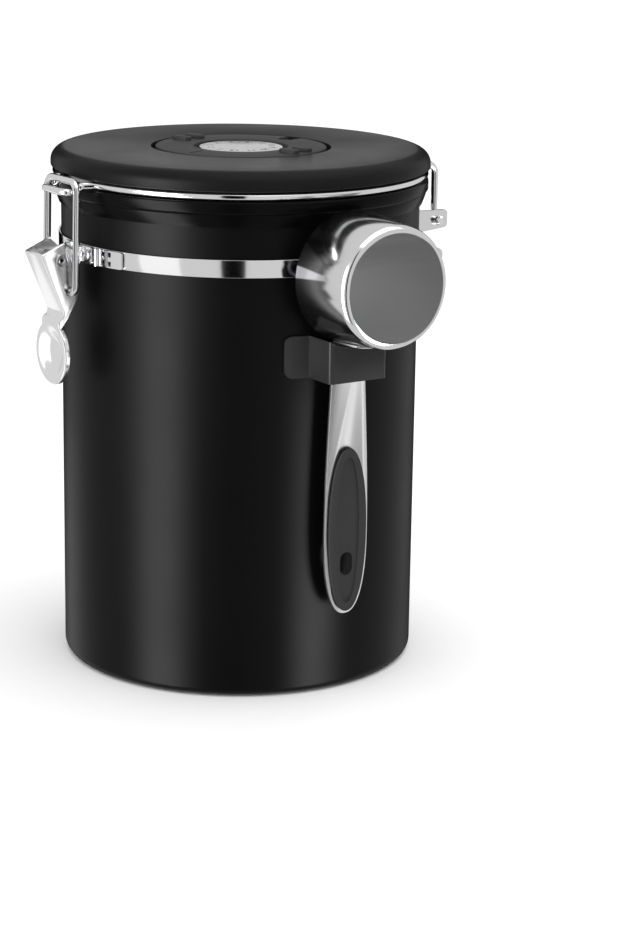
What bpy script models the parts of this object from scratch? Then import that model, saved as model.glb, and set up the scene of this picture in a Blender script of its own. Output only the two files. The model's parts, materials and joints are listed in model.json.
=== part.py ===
"""Coffee canister: steel jar with a bail clamp, a date dial in the lid and a scoop on its side.

Frame: metres, +Z up, origin at the centre of the flat base.
The latch is at -X, the lid hinge at +X and the scoop at -Y.
"""
from math import acos, asin, atan2, cos, pi, radians, sin, sqrt, tan

import bmesh
import bpy
from mathutils import Matrix, Vector

# Shared values
CLEARANCE = 0.0003
OVERRUN = 0.0010
MERGE_DISTANCE = 0.000001
ROUND_STEPS = 44
RING_STEPS = 36
PART_STEPS = 24
SMALL_STEPS = 16
ARC_STEPS = 3
EDGE_STEPS = 2
BEND_STEPS = 4
WIRE_RESOLUTION = 2
SHARP_ANGLE = radians(32)
FULL_TURN = 2 * pi

# Jar
BODY_RADIUS = 0.0612
BODY_WALL = 0.0008
BODY_HEIGHT = 0.1646
FLOOR_THICKNESS = 0.0010
BASE_FILLET = 0.0032

# Collar ring on the mouth
COLLAR_OVERHANG = 0.0028
COLLAR_LAND_THICKNESS = 0.0023
COLLAR_LAND_WIDTH = 0.0037
COLLAR_EDGE_FILLET = 0.0010
COLLAR_STEP = 0.0008
COLLAR_STEP_DROP = 0.0042
COLLAR_TAPER_DROP = 0.0053
COLLAR_SKIRT_DROP = 0.0086
COLLAR_TOE = 0.0005

# Neck band
BAND_HEIGHT = 0.0058
BAND_THICKNESS = 0.0006
BAND_DROP = 0.0193

# Buckle that closes the band, beside the latch
BUCKLE_GAP = 0.00234
BUCKLE_LENGTH = 0.01122
BUCKLE_THICKNESS = 0.0007
BUCKLE_EDGE_MARGIN = 0.0001
BUCKLE_FOLD_RADIUS = 0.0009
BUCKLE_SLOT_WIDTH = 0.0016
BUCKLE_SLOT_HEIGHT = 0.0016
BUCKLE_SLOT_PITCH = 0.0030
BUCKLE_SLOT_INSET = 0.00436

# Rivets of the two brackets
RIVET_RADIUS = 0.0008
RIVET_HEAD_RADIUS = 0.0013
RIVET_HEAD_HEIGHT = 0.0006

# Lid wire
LID_WIRE_RADIUS = 0.0012
RING_WIRE_INSET = 0.0012
NOSE_HALF_WIDTH = 0.0072
NOSE_ROOT_HALF_WIDTH = 0.0110
NOSE_DIP = 0.0024
NOSE_LIFT = 0.0003
NOSE_HOOK = 0.0034
NOSE_CORNER_RADIUS = 0.0024
NOSE_BEND_RADIUS = 0.0020
HINGE_LEG_GAP = 0.0039
HINGE_HALF_SPREAD = 0.0180
HINGE_RISE = 0.0035
HINGE_TOP_BEND_RADIUS = 0.0040
HINGE_END_BEND_RADIUS = 0.0022
HINGE_END_STUB = 0.0016

# Bail wire
BAIL_WIRE_RADIUS = 0.00125
BAIL_HALF_WIDTH = 0.0102
BAIL_TOP_BEND_RADIUS = 0.0036
BAIL_END_BEND_RADIUS = 0.0030
BAIL_SEAT_GAP = 0.0010
CROSSBAR_GAP = 0.00255
BAIL_END_INSET = 0.0008

# Latch base: a plate with two ears on the band
LATCH_PLATE_HALF_WIDTH = 0.0092
LATCH_PLATE_THICKNESS = 0.0010
LATCH_PLATE_CORNER = 0.0010
LATCH_EAR_THICKNESS = 0.0010
LATCH_EAR_END_RADIUS = 0.0024
LATCH_EAR_ROOT_HEIGHT = 0.0050
LATCH_RIVET_OFFSET = 0.0071
PIVOT_STANDOFF = 0.0100
PIVOT_DROP = 0.0011
PIVOT_RADIUS = 0.0012
PIVOT_BORE_RADIUS = 0.0007
PIVOT_FLANGE_RADIUS = 0.0021
PIVOT_FLANGE_THICKNESS = 0.0004

# Latch lever: a pressed channel with a round thumb spoon
LEVER_HALF_WIDTH = 0.0062
LEVER_SHEET = 0.0010
BAIL_HOLE_INSET = 0.0032
BAIL_HOLE_DROP = 0.0106
LEVER_WEB_REACH = 0.0071
LEVER_WEB_RISE = 0.0020
LEVER_PEAK_INSET = 0.0017
LEVER_PEAK_RISE = 0.0058
LEVER_SHOULDER_INSET = 0.0045
LEVER_SHOULDER_RISE = 0.0033
LEVER_BELLY_INSET = 0.0072
LEVER_BELLY_DROP = 0.0047
LEVER_HEEL_DROP = 0.0122
LEVER_NECK_DROP = 0.0194
LEVER_NECK_REACH = 0.0004
LEVER_NECK_DEPTH = 0.0036
LEVER_TOE_DROP = 0.0222
SPOON_RADIUS = 0.0107
SPOON_DROP = 0.0317
SPOON_REACH = 0.0010
SPOON_DISH_DEPTH = 0.0021
SPOON_MIDDLE_SHARE = 0.42
SPOON_FLAT_RADIUS = 0.0037
SPOON_RIM_WIDTH = 0.0013
SPOON_SHEET = 0.0010
SPOON_FLANGE_DEPTH = 0.0016

# Hinge bracket
HINGE_PLATE_HALF_WIDTH = 0.0200
HINGE_PLATE_THICKNESS = 0.0010
HINGE_PLATE_RISE = 0.0081
HINGE_PLATE_DROP = 0.0108
HINGE_PLATE_CORNER = 0.0020
HINGE_EAR_THICKNESS = 0.0012
HINGE_EAR_REACH = 0.0040
HINGE_EAR_RISE = 0.0036
HINGE_EAR_DROP = 0.0025
HINGE_EAR_CORNER = 0.0014
HINGE_TAB_REACH = 0.0085
HINGE_TAB_HEIGHT = 0.0044
HINGE_TAB_CORNER = 0.0020
HINGE_RIVET_OFFSET = 0.0080

# Lid cover
COVER_OVERHANG = 0.0006
COVER_SHEET = 0.0008
COVER_HEIGHT = 0.0062
COVER_SHOULDER_WIDTH = 0.0050
COVER_SHOULDER_HEIGHT = 0.0046
COVER_HEM = 0.0009
COVER_SHOULDER_STEPS = 4
WELL_CLEARANCE = 0.0015

# Inner plate of the lid
INNER_FLANGE_THICKNESS = 0.0011
INNER_WIRE_SEAT_HEIGHT = 0.0007
INNER_SHEET = 0.0018
INNER_PLUG_DROP = 0.0024
INNER_PLUG_GAP = 0.0041
INNER_PLUG_CHAMFER = 0.0004
INNER_RIB_INSET = 0.0054
INNER_RIB_THICKNESS = 0.0018

# Gasket
GASKET_THICKNESS = 0.0017
GASKET_LIP = 0.0005

# Date dial
DAY_RING_RADIUS = 0.0291
DAY_RING_THICKNESS = 0.0022
DIAL_RISE = 0.0004
DATE_PLATE_THICKNESS = 0.0005
MONTH_DISC_RADIUS = 0.0143
MONTH_GAP = 0.0015
MONTH_DISC_THICKNESS = 0.0014
MONTH_HUB_RADIUS = 0.0060
MONTH_DISC_RISE = 0.0002
DISC_EDGE = 0.0004
WINDOW_HALF_WIDTH = 0.0030
WINDOW_INNER_RADIUS = 0.0212
DIAL_ANGLE = radians(18)
NUB_ORBIT = 0.0240
NUB_SPACING = 0.0068
NUB_LENGTH = 0.0078
NUB_WIDTH = 0.0034
NUB_HEIGHT = 0.0012
NUB_EDGE = 0.0004
MARK_INNER_RADIUS = 0.0199
MARK_OUTER_RADIUS = 0.0264
MARK_WIDTH = 0.0009
MARK_DEPTH = 0.0003
AXLE_RADIUS = 0.0020
AXLE_FLANGE_RADIUS = 0.0040
AXLE_FLANGE_THICKNESS = 0.0008

# One-way vent in the middle of the inner plate
VALVE_TUBE_RADIUS = 0.0070
VALVE_FLANGE_RADIUS = 0.0090
VALVE_FLANGE_THICKNESS = 0.0012
VALVE_BORE_RADIUS = 0.0056
VALVE_SEAT_THICKNESS = 0.0008
VALVE_HOLE_RADIUS = 0.0008
VALVE_HOLE_ORBIT = 0.0032
VALVE_HOLE_COUNT = 6
VALVE_STEM_RADIUS = 0.0008
VALVE_FLAP_RADIUS = 0.0048
VALVE_FLAP_THICKNESS = 0.0006
VALVE_CAP_RADIUS = 0.0090
VALVE_CAP_THICKNESS = 0.0012
VALVE_CAP_RING_HEIGHT = 0.0012
VALVE_CAP_RING_WALL = 0.0009
VALVE_SLOT_WIDTH = 0.0010
VALVE_SLOT_PITCH = 0.0022
VALVE_SLOT_LENGTH_SHARE = 0.70
VALVE_SLOT_COUNT = 3

# Scoop holder: a bent strip with its slot open at both ends
HOLDER_HALF_WIDTH = 0.0110
HOLDER_HEIGHT = 0.0139
HOLDER_DROP = 0.0555
HOLDER_REACH = 0.0126
HOLDER_SHEET = 0.0008
HOLDER_CORNER = 0.0014
HOLDER_FOOT = 0.0084
HOLDER_FOOT_CORNER = 0.0026

# Scoop
SCOOP_MOUTH_RADIUS = 0.0215
SCOOP_BASE_RADIUS = 0.0200
SCOOP_DEPTH = 0.0259
SCOOP_SHEET = 0.0008
SCOOP_BASE_FILLET = 0.0026
SCOOP_RIM = 0.0003
SCOOP_SEAT = 0.0027
HANDLE_LID_GAP = 0.0023
HANDLE_SHEET = 0.0012
HANDLE_TAB_LENGTH = 0.0125
HANDLE_TAB_SHEET = 0.0006
HANDLE_TOP_HALF_WIDTH = 0.0058
HANDLE_WIDE_HALF_WIDTH = 0.0086
HANDLE_LENGTH = 0.0940
HANDLE_WIDE_DROP = 0.0660
HANDLE_TIP_POWER = 2.4
HANDLE_SIDE_STEPS = 8
GRIP_DROP = 0.0373
GRIP_MARGIN = 0.0012
GRIP_FLANGE = 0.0008
GRIP_RISE = 0.0010
GRIP_BACK_RISE = 0.0007
GRIP_EDGE = 0.0004
GRIP_DISH = 0.0006
GRIP_DISH_MARGIN = 0.0030
GRIP_OUTLINE_STEPS = 32
GRIP_POWER = 2.2
HANG_HOLE_RISE = 0.0172
HANG_HOLE_HALF_WIDTH = 0.0024
HANG_HOLE_LENGTH = 0.0080

# Heights and reaches that follow from the sizes above
BAND_CENTRE_HEIGHT = BODY_HEIGHT - BAND_DROP
COLLAR_RADIUS = BODY_RADIUS + COLLAR_OVERHANG
COLLAR_LAND_RADIUS = BODY_RADIUS - COLLAR_LAND_WIDTH
RING_WIRE_RADIUS = COLLAR_RADIUS - RING_WIRE_INSET
COVER_RADIUS = COLLAR_RADIUS + COVER_OVERHANG
INNER_PLUG_RADIUS = COLLAR_LAND_RADIUS - INNER_PLUG_GAP
INNER_RIB_RADIUS = COVER_RADIUS - INNER_RIB_INSET
COLLAR_TOP = BODY_HEIGHT + CLEARANCE + COLLAR_LAND_THICKNESS
RING_HEIGHT = COLLAR_TOP + CLEARANCE + LID_WIRE_RADIUS
FLANGE_BOTTOM = RING_HEIGHT + LID_WIRE_RADIUS + CLEARANCE
COVER_BOTTOM = FLANGE_BOTTOM + CLEARANCE
COVER_TOP = COVER_BOTTOM + COVER_HEIGHT
BAND_INNER = BODY_RADIUS + CLEARANCE
BAND_OUTER = BAND_INNER + BAND_THICKNESS
PLATE_INNER = BAND_OUTER + CLEARANCE
BUCKLE_START_ANGLE = pi + (LATCH_PLATE_HALF_WIDTH + BUCKLE_GAP) / PLATE_INNER
BUCKLE_END_ANGLE = BUCKLE_START_ANGLE + BUCKLE_LENGTH / PLATE_INNER
BUCKLE_SLOT_ANGLE = BUCKLE_START_ANGLE + BUCKLE_SLOT_INSET / PLATE_INNER
BAND_BOTTOM = BAND_CENTRE_HEIGHT - BAND_HEIGHT / 2
BAND_TOP = BAND_CENTRE_HEIGHT + BAND_HEIGHT / 2
PIVOT_X = -(PLATE_INNER + PIVOT_STANDOFF)
PIVOT_Z = BAND_CENTRE_HEIGHT - PIVOT_DROP
BAIL_HOLE_X = PIVOT_X + BAIL_HOLE_INSET
BAIL_HOLE_Z = PIVOT_Z - BAIL_HOLE_DROP
NOSE_Z = RING_HEIGHT - NOSE_DIP
CROSSBAR_X = -(COVER_RADIUS + BAIL_WIRE_RADIUS + CROSSBAR_GAP)
CROSSBAR_Z = NOSE_Z + LID_WIRE_RADIUS + BAIL_WIRE_RADIUS + BAIL_SEAT_GAP
HINGE_X = COVER_RADIUS + HINGE_LEG_GAP
HINGE_Z = BAND_CENTRE_HEIGHT + HINGE_RISE
DIAL_TOP = COVER_TOP + DIAL_RISE
RING_BOTTOM = DIAL_TOP - DAY_RING_THICKNESS
DATE_PLATE_TOP = RING_BOTTOM - CLEARANCE
DATE_PLATE_BOTTOM = DATE_PLATE_TOP - DATE_PLATE_THICKNESS
WELL_FLOOR = DATE_PLATE_BOTTOM - CLEARANCE
WELL_UNDERSIDE = WELL_FLOOR - COVER_SHEET
WELL_RADIUS = DAY_RING_RADIUS + WELL_CLEARANCE
PLUG_BOTTOM = COLLAR_TOP - INNER_PLUG_DROP
GASKET_BOTTOM = COLLAR_TOP + CLEARANCE
GASKET_TOP = GASKET_BOTTOM + GASKET_THICKNESS
HANDLE_BACK_Y = -(COVER_RADIUS + HANDLE_LID_GAP)
HANDLE_FRONT_Y = HANDLE_BACK_Y - HANDLE_SHEET
SCOOP_MOUTH_Y = HANDLE_FRONT_Y - CLEARANCE
HOLDER_BOTTOM = BODY_HEIGHT - HOLDER_DROP
HOLDER_TOP = HOLDER_BOTTOM + HOLDER_HEIGHT
HANDLE_TIP_HEIGHT = HOLDER_TOP - HANDLE_LENGTH
HANDLE_WIDE_HEIGHT = HOLDER_TOP - HANDLE_WIDE_DROP
GRIP_TOP_HEIGHT = HOLDER_TOP - GRIP_DROP
HANG_HOLE_HEIGHT = HANDLE_TIP_HEIGHT + HANG_HOLE_RISE
TAB_INNER_RADIUS = SCOOP_MOUTH_RADIUS + CLEARANCE
TAB_OUTER_RADIUS = TAB_INNER_RADIUS + HANDLE_TAB_SHEET
CRADLE_RADIUS = TAB_OUTER_RADIUS + CLEARANCE
SCOOP_CENTRE_Z = HOLDER_TOP - SCOOP_SEAT + CRADLE_RADIUS
GRIP_CENTRE_HEIGHT = (GRIP_TOP_HEIGHT + HANDLE_TIP_HEIGHT + GRIP_MARGIN) / 2
GRIP_HALF_LENGTH = (GRIP_TOP_HEIGHT - HANDLE_TIP_HEIGHT - GRIP_MARGIN) / 2


def clear_scene():
    for item in list(bpy.data.objects):
        bpy.data.objects.remove(item, do_unlink=True)


def material(name, colour, roughness, metallic):
    """A Principled material; each sub-part has its own."""
    made = bpy.data.materials.new(name)
    made.use_nodes = True
    shader = made.node_tree.nodes["Principled BSDF"]
    shader.inputs["Base Color"].default_value = (*colour, 1)
    shader.inputs["Roughness"].default_value = roughness
    shader.inputs["Metallic"].default_value = metallic
    made.diffuse_color = (*colour, 1)
    return made


def painted(name):
    return material(name, (0.016, 0.016, 0.017), 0.42, 0)


def polished(name):
    return material(name, (0.78, 0.78, 0.79), 0.12, 1)


def brushed(name):
    return material(name, (0.62, 0.62, 0.63), 0.30, 1)


def black_plastic(name):
    return material(name, (0.012, 0.012, 0.013), 0.38, 0)


def add_object(name, shape, finish, parent=None):
    """Link a bmesh as a smooth-shaded object with its own material."""
    mesh = bpy.data.meshes.new(name)
    shape.to_mesh(mesh)
    shape.free()
    mesh.shade_smooth()
    mesh.set_sharp_from_angle(angle=SHARP_ANGLE)
    made = bpy.data.objects.new(name, mesh)
    made.data.materials.append(finish(name))
    bpy.context.collection.objects.link(made)
    if parent is not None:
        hang(made, parent)
    return made


def hang(child, parent):
    """Parent an object to an empty and keep it where it is."""
    child.parent = parent
    child.matrix_parent_inverse = Matrix.Translation(parent.location).inverted()


def pivot(name, location):
    """Empty on a joint's axis."""
    made = bpy.data.objects.new(name, None)
    made.location = location
    bpy.context.collection.objects.link(made)
    return made


def boolean(target, tool, operation):
    tool.hide_render = True
    tool.display_type = "WIRE"
    step = target.modifiers.new(operation.lower() + "_" + tool.name, "BOOLEAN")
    step.operation = operation
    step.solver = "EXACT"
    step.object = tool


def cut(target, tool):
    boolean(target, tool, "DIFFERENCE")


def fuse(target, tool):
    boolean(target, tool, "UNION")


def arc(centre, radius, start, end, steps):
    """Points of an arc in a plane, both ends included."""
    points = []
    for index in range(steps + 1):
        angle = start + (end - start) * index / steps
        points.append((centre[0] + radius * cos(angle), centre[1] + radius * sin(angle)))
    return points


def rounded(corners, steps=ARC_STEPS, closed=True):
    """Corners are (point, radius). Each corner becomes an arc of its radius, in two or three axes."""
    places = [Vector(point).to_3d() for point, _ in corners]
    count = len(corners)
    points = []
    for index, (_, radius) in enumerate(corners):
        here = places[index]
        inner = closed or 0 < index < count - 1
        if radius == 0 or not inner:
            points.append(here)
            continue
        back = (places[index - 1] - here).normalized()
        ahead = (places[(index + 1) % count] - here).normalized()
        half = back.angle(ahead) / 2
        reach = radius / tan(half)
        start = here + back * reach
        end = here + ahead * reach
        centre = here + (back + ahead).normalized() * (radius / sin(half))
        first = start - centre
        last = end - centre
        sweep = first.angle(last)
        for step in range(steps + 1):
            share = step / steps
            mixed = first * sin((1 - share) * sweep) + last * sin(share * sweep)
            points.append(centre + mixed / sin(sweep))
    return points


def turned(outline, steps=ROUND_STEPS):
    """Turn a closed outline of (radius, height) points once round Z."""
    shape = bmesh.new()
    corners = [shape.verts.new((radius, 0, height)) for radius, height in outline]
    edges = [shape.edges.new(pair) for pair in zip(corners, corners[1:])]
    if outline[0][0] > 0 or outline[-1][0] > 0:
        edges.append(shape.edges.new((corners[-1], corners[0])))
    bmesh.ops.spin(
        shape, geom=corners + edges, cent=(0, 0, 0), axis=(0, 0, 1),
        angle=FULL_TURN, steps=steps, use_merge=True,
    )
    bmesh.ops.remove_doubles(shape, verts=shape.verts, dist=MERGE_DISTANCE)
    bmesh.ops.recalc_face_normals(shape, faces=shape.faces)
    return shape


def aim(shape, axis, place=(0, 0, 0)):
    """Turn a shape made round Z so that its axis points along the given axis, then place it."""
    turn = Vector((0, 0, 1)).rotation_difference(Vector(axis)).to_matrix().to_4x4()
    bmesh.ops.transform(shape, matrix=Matrix.Translation(place) @ turn, verts=shape.verts)
    return shape


def plate(outline, thickness):
    """Extrude a flat outline in the XY plane along +Z."""
    shape = bmesh.new()
    face = shape.faces.new([shape.verts.new((point[0], point[1], 0)) for point in outline])
    raised = bmesh.ops.extrude_face_region(shape, geom=[face])["geom"]
    moved = [item for item in raised if isinstance(item, bmesh.types.BMVert)]
    bmesh.ops.translate(shape, vec=(0, 0, thickness), verts=moved)
    bmesh.ops.recalc_face_normals(shape, faces=shape.faces)
    return shape


def upright(shape, y):
    """Stand a plate up: its outline's second axis becomes height, its thickness runs to -Y from y."""
    stand = Matrix(((1, 0, 0, 0), (0, 0, -1, y), (0, 1, 0, 0), (0, 0, 0, 1)))
    bmesh.ops.transform(shape, matrix=stand, verts=shape.verts)
    return shape


def wrapped(outline, inner_radius, thickness, angle, strips):
    """Bend a flat plate round the jar. Outline points are (arc length from the middle, height)."""
    shape = bmesh.new()
    shape.faces.new([shape.verts.new((point[0], point[1], 0)) for point in outline])
    left = min(point[0] for point in outline)
    right = max(point[0] for point in outline)
    for index in range(1, strips):
        place = left + (right - left) * index / strips
        whole = shape.verts[:] + shape.edges[:] + shape.faces[:]
        bmesh.ops.bisect_plane(
            shape, geom=whole, dist=MERGE_DISTANCE, plane_co=(place, 0, 0), plane_no=(1, 0, 0),
        )
    raised = bmesh.ops.extrude_face_region(shape, geom=shape.faces[:])["geom"]
    moved = [item for item in raised if isinstance(item, bmesh.types.BMVert)]
    bmesh.ops.translate(shape, vec=(0, 0, thickness), verts=moved)
    for vertex in shape.verts:
        along, height, depth = vertex.co
        turn = angle + along / inner_radius
        reach = inner_radius + depth
        vertex.co = (reach * cos(turn), reach * sin(turn), height)
    bmesh.ops.recalc_face_normals(shape, faces=shape.faces)
    return shape


def rod(radius, length, axis, place, steps=SMALL_STEPS):
    """A plain pin or a drill, centred on its place."""
    outline = [(0, length / 2), (radius, length / 2), (radius, -length / 2), (0, -length / 2)]
    return aim(turned(outline, steps), axis, place)


def layered(outline_at, layers):
    """Close a body over rings of like outlines. Each layer is (offset of the outline, depth)."""
    shape = bmesh.new()
    rings = []
    for offset, depth in layers:
        rings.append([shape.verts.new((x, depth, z)) for x, z in outline_at(offset)])
    for lower, upper in zip(rings, rings[1:]):
        for index in range(len(lower)):
            ahead = (index + 1) % len(lower)
            shape.faces.new((lower[index], lower[ahead], upper[ahead], upper[index]))
    shape.faces.new(rings[0])
    shape.faces.new(rings[-1])
    bmesh.ops.recalc_face_normals(shape, faces=shape.faces)
    return shape


def wire(name, points, radius, finish, parent=None):
    """A bent wire: a curve with a round bevel and closed ends."""
    curve = bpy.data.curves.new(name, "CURVE")
    curve.dimensions = "3D"
    curve.bevel_depth = radius
    curve.bevel_resolution = WIRE_RESOLUTION
    curve.use_fill_caps = True
    run = curve.splines.new("POLY")
    run.points.add(len(points) - 1)
    for slot, point in zip(run.points, points):
        slot.co = (*point, 1)
    curve.materials.append(finish(name))
    made = bpy.data.objects.new(name, curve)
    bpy.context.collection.objects.link(made)
    if parent is not None:
        hang(made, parent)
    return made


def canister_body():
    """Drawn jar: flat base, small base radius, straight wall."""
    inner = BODY_RADIUS - BODY_WALL
    inner_fillet = BASE_FILLET - BODY_WALL
    outline = [(0, 0)]
    outline += arc((BODY_RADIUS - BASE_FILLET, BASE_FILLET), BASE_FILLET, -pi / 2, 0, ARC_STEPS)
    outline += [(BODY_RADIUS, BODY_HEIGHT), (inner, BODY_HEIGHT)]
    outline += arc((inner - inner_fillet, FLOOR_THICKNESS + inner_fillet), inner_fillet, 0, -pi / 2, ARC_STEPS)
    outline += [(0, FLOOR_THICKNESS)]
    return add_object("canister_body", turned(outline), painted)


def collar_ring():
    """Stepped ring pressed on the mouth, with the flat land that the gasket seals on."""
    groove = BODY_RADIUS + CLEARANCE
    ledge = BODY_HEIGHT + CLEARANCE
    edge = COLLAR_EDGE_FILLET
    step = COLLAR_RADIUS - COLLAR_STEP
    outline = [(COLLAR_LAND_RADIUS, ledge), (groove, ledge), (groove, COLLAR_TOP - COLLAR_SKIRT_DROP)]
    outline += [(groove + COLLAR_TOE, COLLAR_TOP - COLLAR_SKIRT_DROP)]
    outline += [(step, COLLAR_TOP - COLLAR_TAPER_DROP), (step, COLLAR_TOP - COLLAR_STEP_DROP)]
    outline += [(COLLAR_RADIUS, COLLAR_TOP - COLLAR_STEP_DROP + CLEARANCE)]
    outline += arc((COLLAR_RADIUS - edge, COLLAR_TOP - edge), edge, 0, pi / 2, EDGE_STEPS)
    outline += arc((COLLAR_LAND_RADIUS + edge, COLLAR_TOP - edge), edge, pi / 2, pi, EDGE_STEPS)
    return add_object("collar_ring", turned(outline), painted)


def rivet_cutters(name, half_offset, angle, reach, plate_thickness):
    """Two drills through a bracket plate and the band, as one tool."""
    drill = bmesh.new()
    length = 2 * (plate_thickness + BAND_THICKNESS + OVERRUN)
    for side in (-1, 1):
        turn = angle + side * half_offset / reach
        direction = (cos(turn), sin(turn), 0)
        place = (reach * cos(turn), reach * sin(turn), BAND_CENTRE_HEIGHT)
        one = rod(RIVET_RADIUS + CLEARANCE, length, direction, place)
        scratch = bpy.data.meshes.new(name)
        one.to_mesh(scratch)
        one.free()
        drill.from_mesh(scratch)
    return add_object(name, drill, brushed)


def rivets(name, half_offset, angle, plate_inner, plate_thickness):
    """Two rivets: a shank through plate and band, and a domed head on the plate."""
    head = plate_inner + plate_thickness + CLEARANCE
    outline = [(0, BAND_INNER), (RIVET_RADIUS, BAND_INNER), (RIVET_RADIUS, head)]
    outline += [(RIVET_HEAD_RADIUS, head)]
    for index in range(1, ARC_STEPS + 1):
        lean = pi / 2 * index / ARC_STEPS
        radius = 0 if index == ARC_STEPS else RIVET_HEAD_RADIUS * cos(lean)
        outline.append((radius, head + RIVET_HEAD_HEIGHT * sin(lean)))
    for side in (-1, 1):
        turn = angle + side * half_offset / plate_inner
        shape = aim(turned(outline, SMALL_STEPS), (cos(turn), sin(turn), 0), (0, 0, BAND_CENTRE_HEIGHT))
        add_object(f"{name}_{(side + 3) // 2}", shape, polished)


def neck_band(drills):
    """Flat steel strap round the neck, drilled for the rivets of both brackets."""
    outline = [(BAND_INNER, BAND_BOTTOM), (BAND_OUTER, BAND_BOTTOM), (BAND_OUTER, BAND_TOP), (BAND_INNER, BAND_TOP)]
    made = add_object("neck_band", turned(outline), polished)
    for drill in drills:
        cut(made, drill)
    return made


def band_buckle():
    """Hooked closing plate of the strap, with its slots and the rolled fold at its end."""
    half_height = BAND_HEIGHT / 2 - BUCKLE_EDGE_MARGIN
    middle = (BUCKLE_START_ANGLE + BUCKLE_END_ANGLE) / 2
    half_arc = (BUCKLE_END_ANGLE - BUCKLE_START_ANGLE) / 2 * PLATE_INNER
    low = BAND_CENTRE_HEIGHT - half_height
    high = BAND_CENTRE_HEIGHT + half_height
    outline = [(-half_arc, low), (half_arc, low), (half_arc, high), (-half_arc, high)]
    made = add_object("band_buckle", wrapped(outline, PLATE_INNER, BUCKLE_THICKNESS, middle, 4), polished)
    reach = PLATE_INNER + BUCKLE_FOLD_RADIUS
    place = (reach * cos(BUCKLE_START_ANGLE), reach * sin(BUCKLE_START_ANGLE), BAND_CENTRE_HEIGHT)
    fold = add_object("buckle_fold", rod(BUCKLE_FOLD_RADIUS, 2 * half_height, (0, 0, 1), place), polished)
    fuse(made, fold)
    for level in (-1, 1):
        for side in (-1, 1):
            turn = BUCKLE_SLOT_ANGLE + side * BUCKLE_SLOT_PITCH / 2 / PLATE_INNER
            height = BAND_CENTRE_HEIGHT + level * BUCKLE_SLOT_PITCH / 2
            half = BUCKLE_SLOT_WIDTH / 2
            window = [(-half, -BUCKLE_SLOT_HEIGHT / 2), (half, -BUCKLE_SLOT_HEIGHT / 2)]
            window += [(half, BUCKLE_SLOT_HEIGHT / 2), (-half, BUCKLE_SLOT_HEIGHT / 2)]
            window = [(x, z + height) for x, z in window]
            punch = wrapped(window, BAND_OUTER, BUCKLE_THICKNESS + OVERRUN, turn, 1)
            cut(made, add_object("slot_punch", punch, polished))
    return made


def latch_base(drill):
    """Plate on the band with two ears that carry the lever's pin."""
    half_height = BAND_HEIGHT / 2
    low = BAND_CENTRE_HEIGHT - half_height
    high = BAND_CENTRE_HEIGHT + half_height
    half = LATCH_PLATE_HALF_WIDTH
    corner = LATCH_PLATE_CORNER
    outline = rounded([((-half, low), corner), ((half, low), corner), ((half, high), corner), ((-half, high), corner)])
    made = add_object("latch_base", wrapped(outline, PLATE_INNER, LATCH_PLATE_THICKNESS, pi, 4), polished)
    ear_outer = LEVER_HALF_WIDTH - LEVER_SHEET - CLEARANCE
    root = -(PLATE_INNER + LATCH_PLATE_THICKNESS / 2)
    root_drop = root * (1 - cos(ear_outer / PLATE_INNER))
    root_low = high - LATCH_EAR_ROOT_HEIGHT
    end = LATCH_EAR_END_RADIUS
    profile = [(root - root_drop, high), (root - root_drop, root_low)]
    profile += arc((PIVOT_X, PIVOT_Z), end, -pi / 2, -3 * pi / 2, 2 * ARC_STEPS)
    for index, side in enumerate((-1, 1)):
        start = ear_outer if side > 0 else -ear_outer + LATCH_EAR_THICKNESS
        ear = add_object(f"latch_ear_{index}", upright(plate(profile, LATCH_EAR_THICKNESS), start), polished)
        fuse(made, ear)
    bore = rod(PIVOT_RADIUS + CLEARANCE, 2 * LEVER_HALF_WIDTH, (0, 1, 0), (PIVOT_X, 0, PIVOT_Z))
    cut(made, add_object("ear_bore", bore, polished))
    cut(made, drill)
    return made


def latch_pivot():
    """Hollow pin through the ears and the lever, rolled over at both ends."""
    half = LEVER_HALF_WIDTH + CLEARANCE
    end = half + PIVOT_FLANGE_THICKNESS
    outline = [(PIVOT_BORE_RADIUS, -end), (PIVOT_FLANGE_RADIUS, -end), (PIVOT_FLANGE_RADIUS, -half)]
    outline += [(PIVOT_RADIUS, -half), (PIVOT_RADIUS, half), (PIVOT_FLANGE_RADIUS, half)]
    outline += [(PIVOT_FLANGE_RADIUS, end), (PIVOT_BORE_RADIUS, end)]
    shape = aim(turned(outline, SMALL_STEPS), (0, 1, 0), (PIVOT_X, 0, PIVOT_Z))
    return add_object("latch_pivot", shape, polished)


def lever_side_outline():
    """Side of the lever, from the web's top round the inner edge to the toe."""
    corners = [
        ((PIVOT_X - LEVER_WEB_REACH, PIVOT_Z + LEVER_WEB_RISE), 0),
        ((PIVOT_X - LEVER_NECK_REACH - LEVER_SHEET, PIVOT_Z - LEVER_TOE_DROP), 0),
        ((PIVOT_X + LEVER_NECK_DEPTH - LEVER_SHEET, PIVOT_Z - LEVER_NECK_DROP), LEVER_SHEET),
        ((PIVOT_X + LEVER_BELLY_INSET, PIVOT_Z - LEVER_HEEL_DROP), LEVER_BELLY_INSET),
        ((PIVOT_X + LEVER_BELLY_INSET, PIVOT_Z - LEVER_BELLY_DROP), LEVER_SHEET),
        ((PIVOT_X + LEVER_SHOULDER_INSET, PIVOT_Z + LEVER_SHOULDER_RISE), LEVER_SHEET),
        ((PIVOT_X + LEVER_PEAK_INSET, PIVOT_Z + LEVER_PEAK_RISE), LEVER_SHEET),
    ]
    return rounded(corners)


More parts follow.
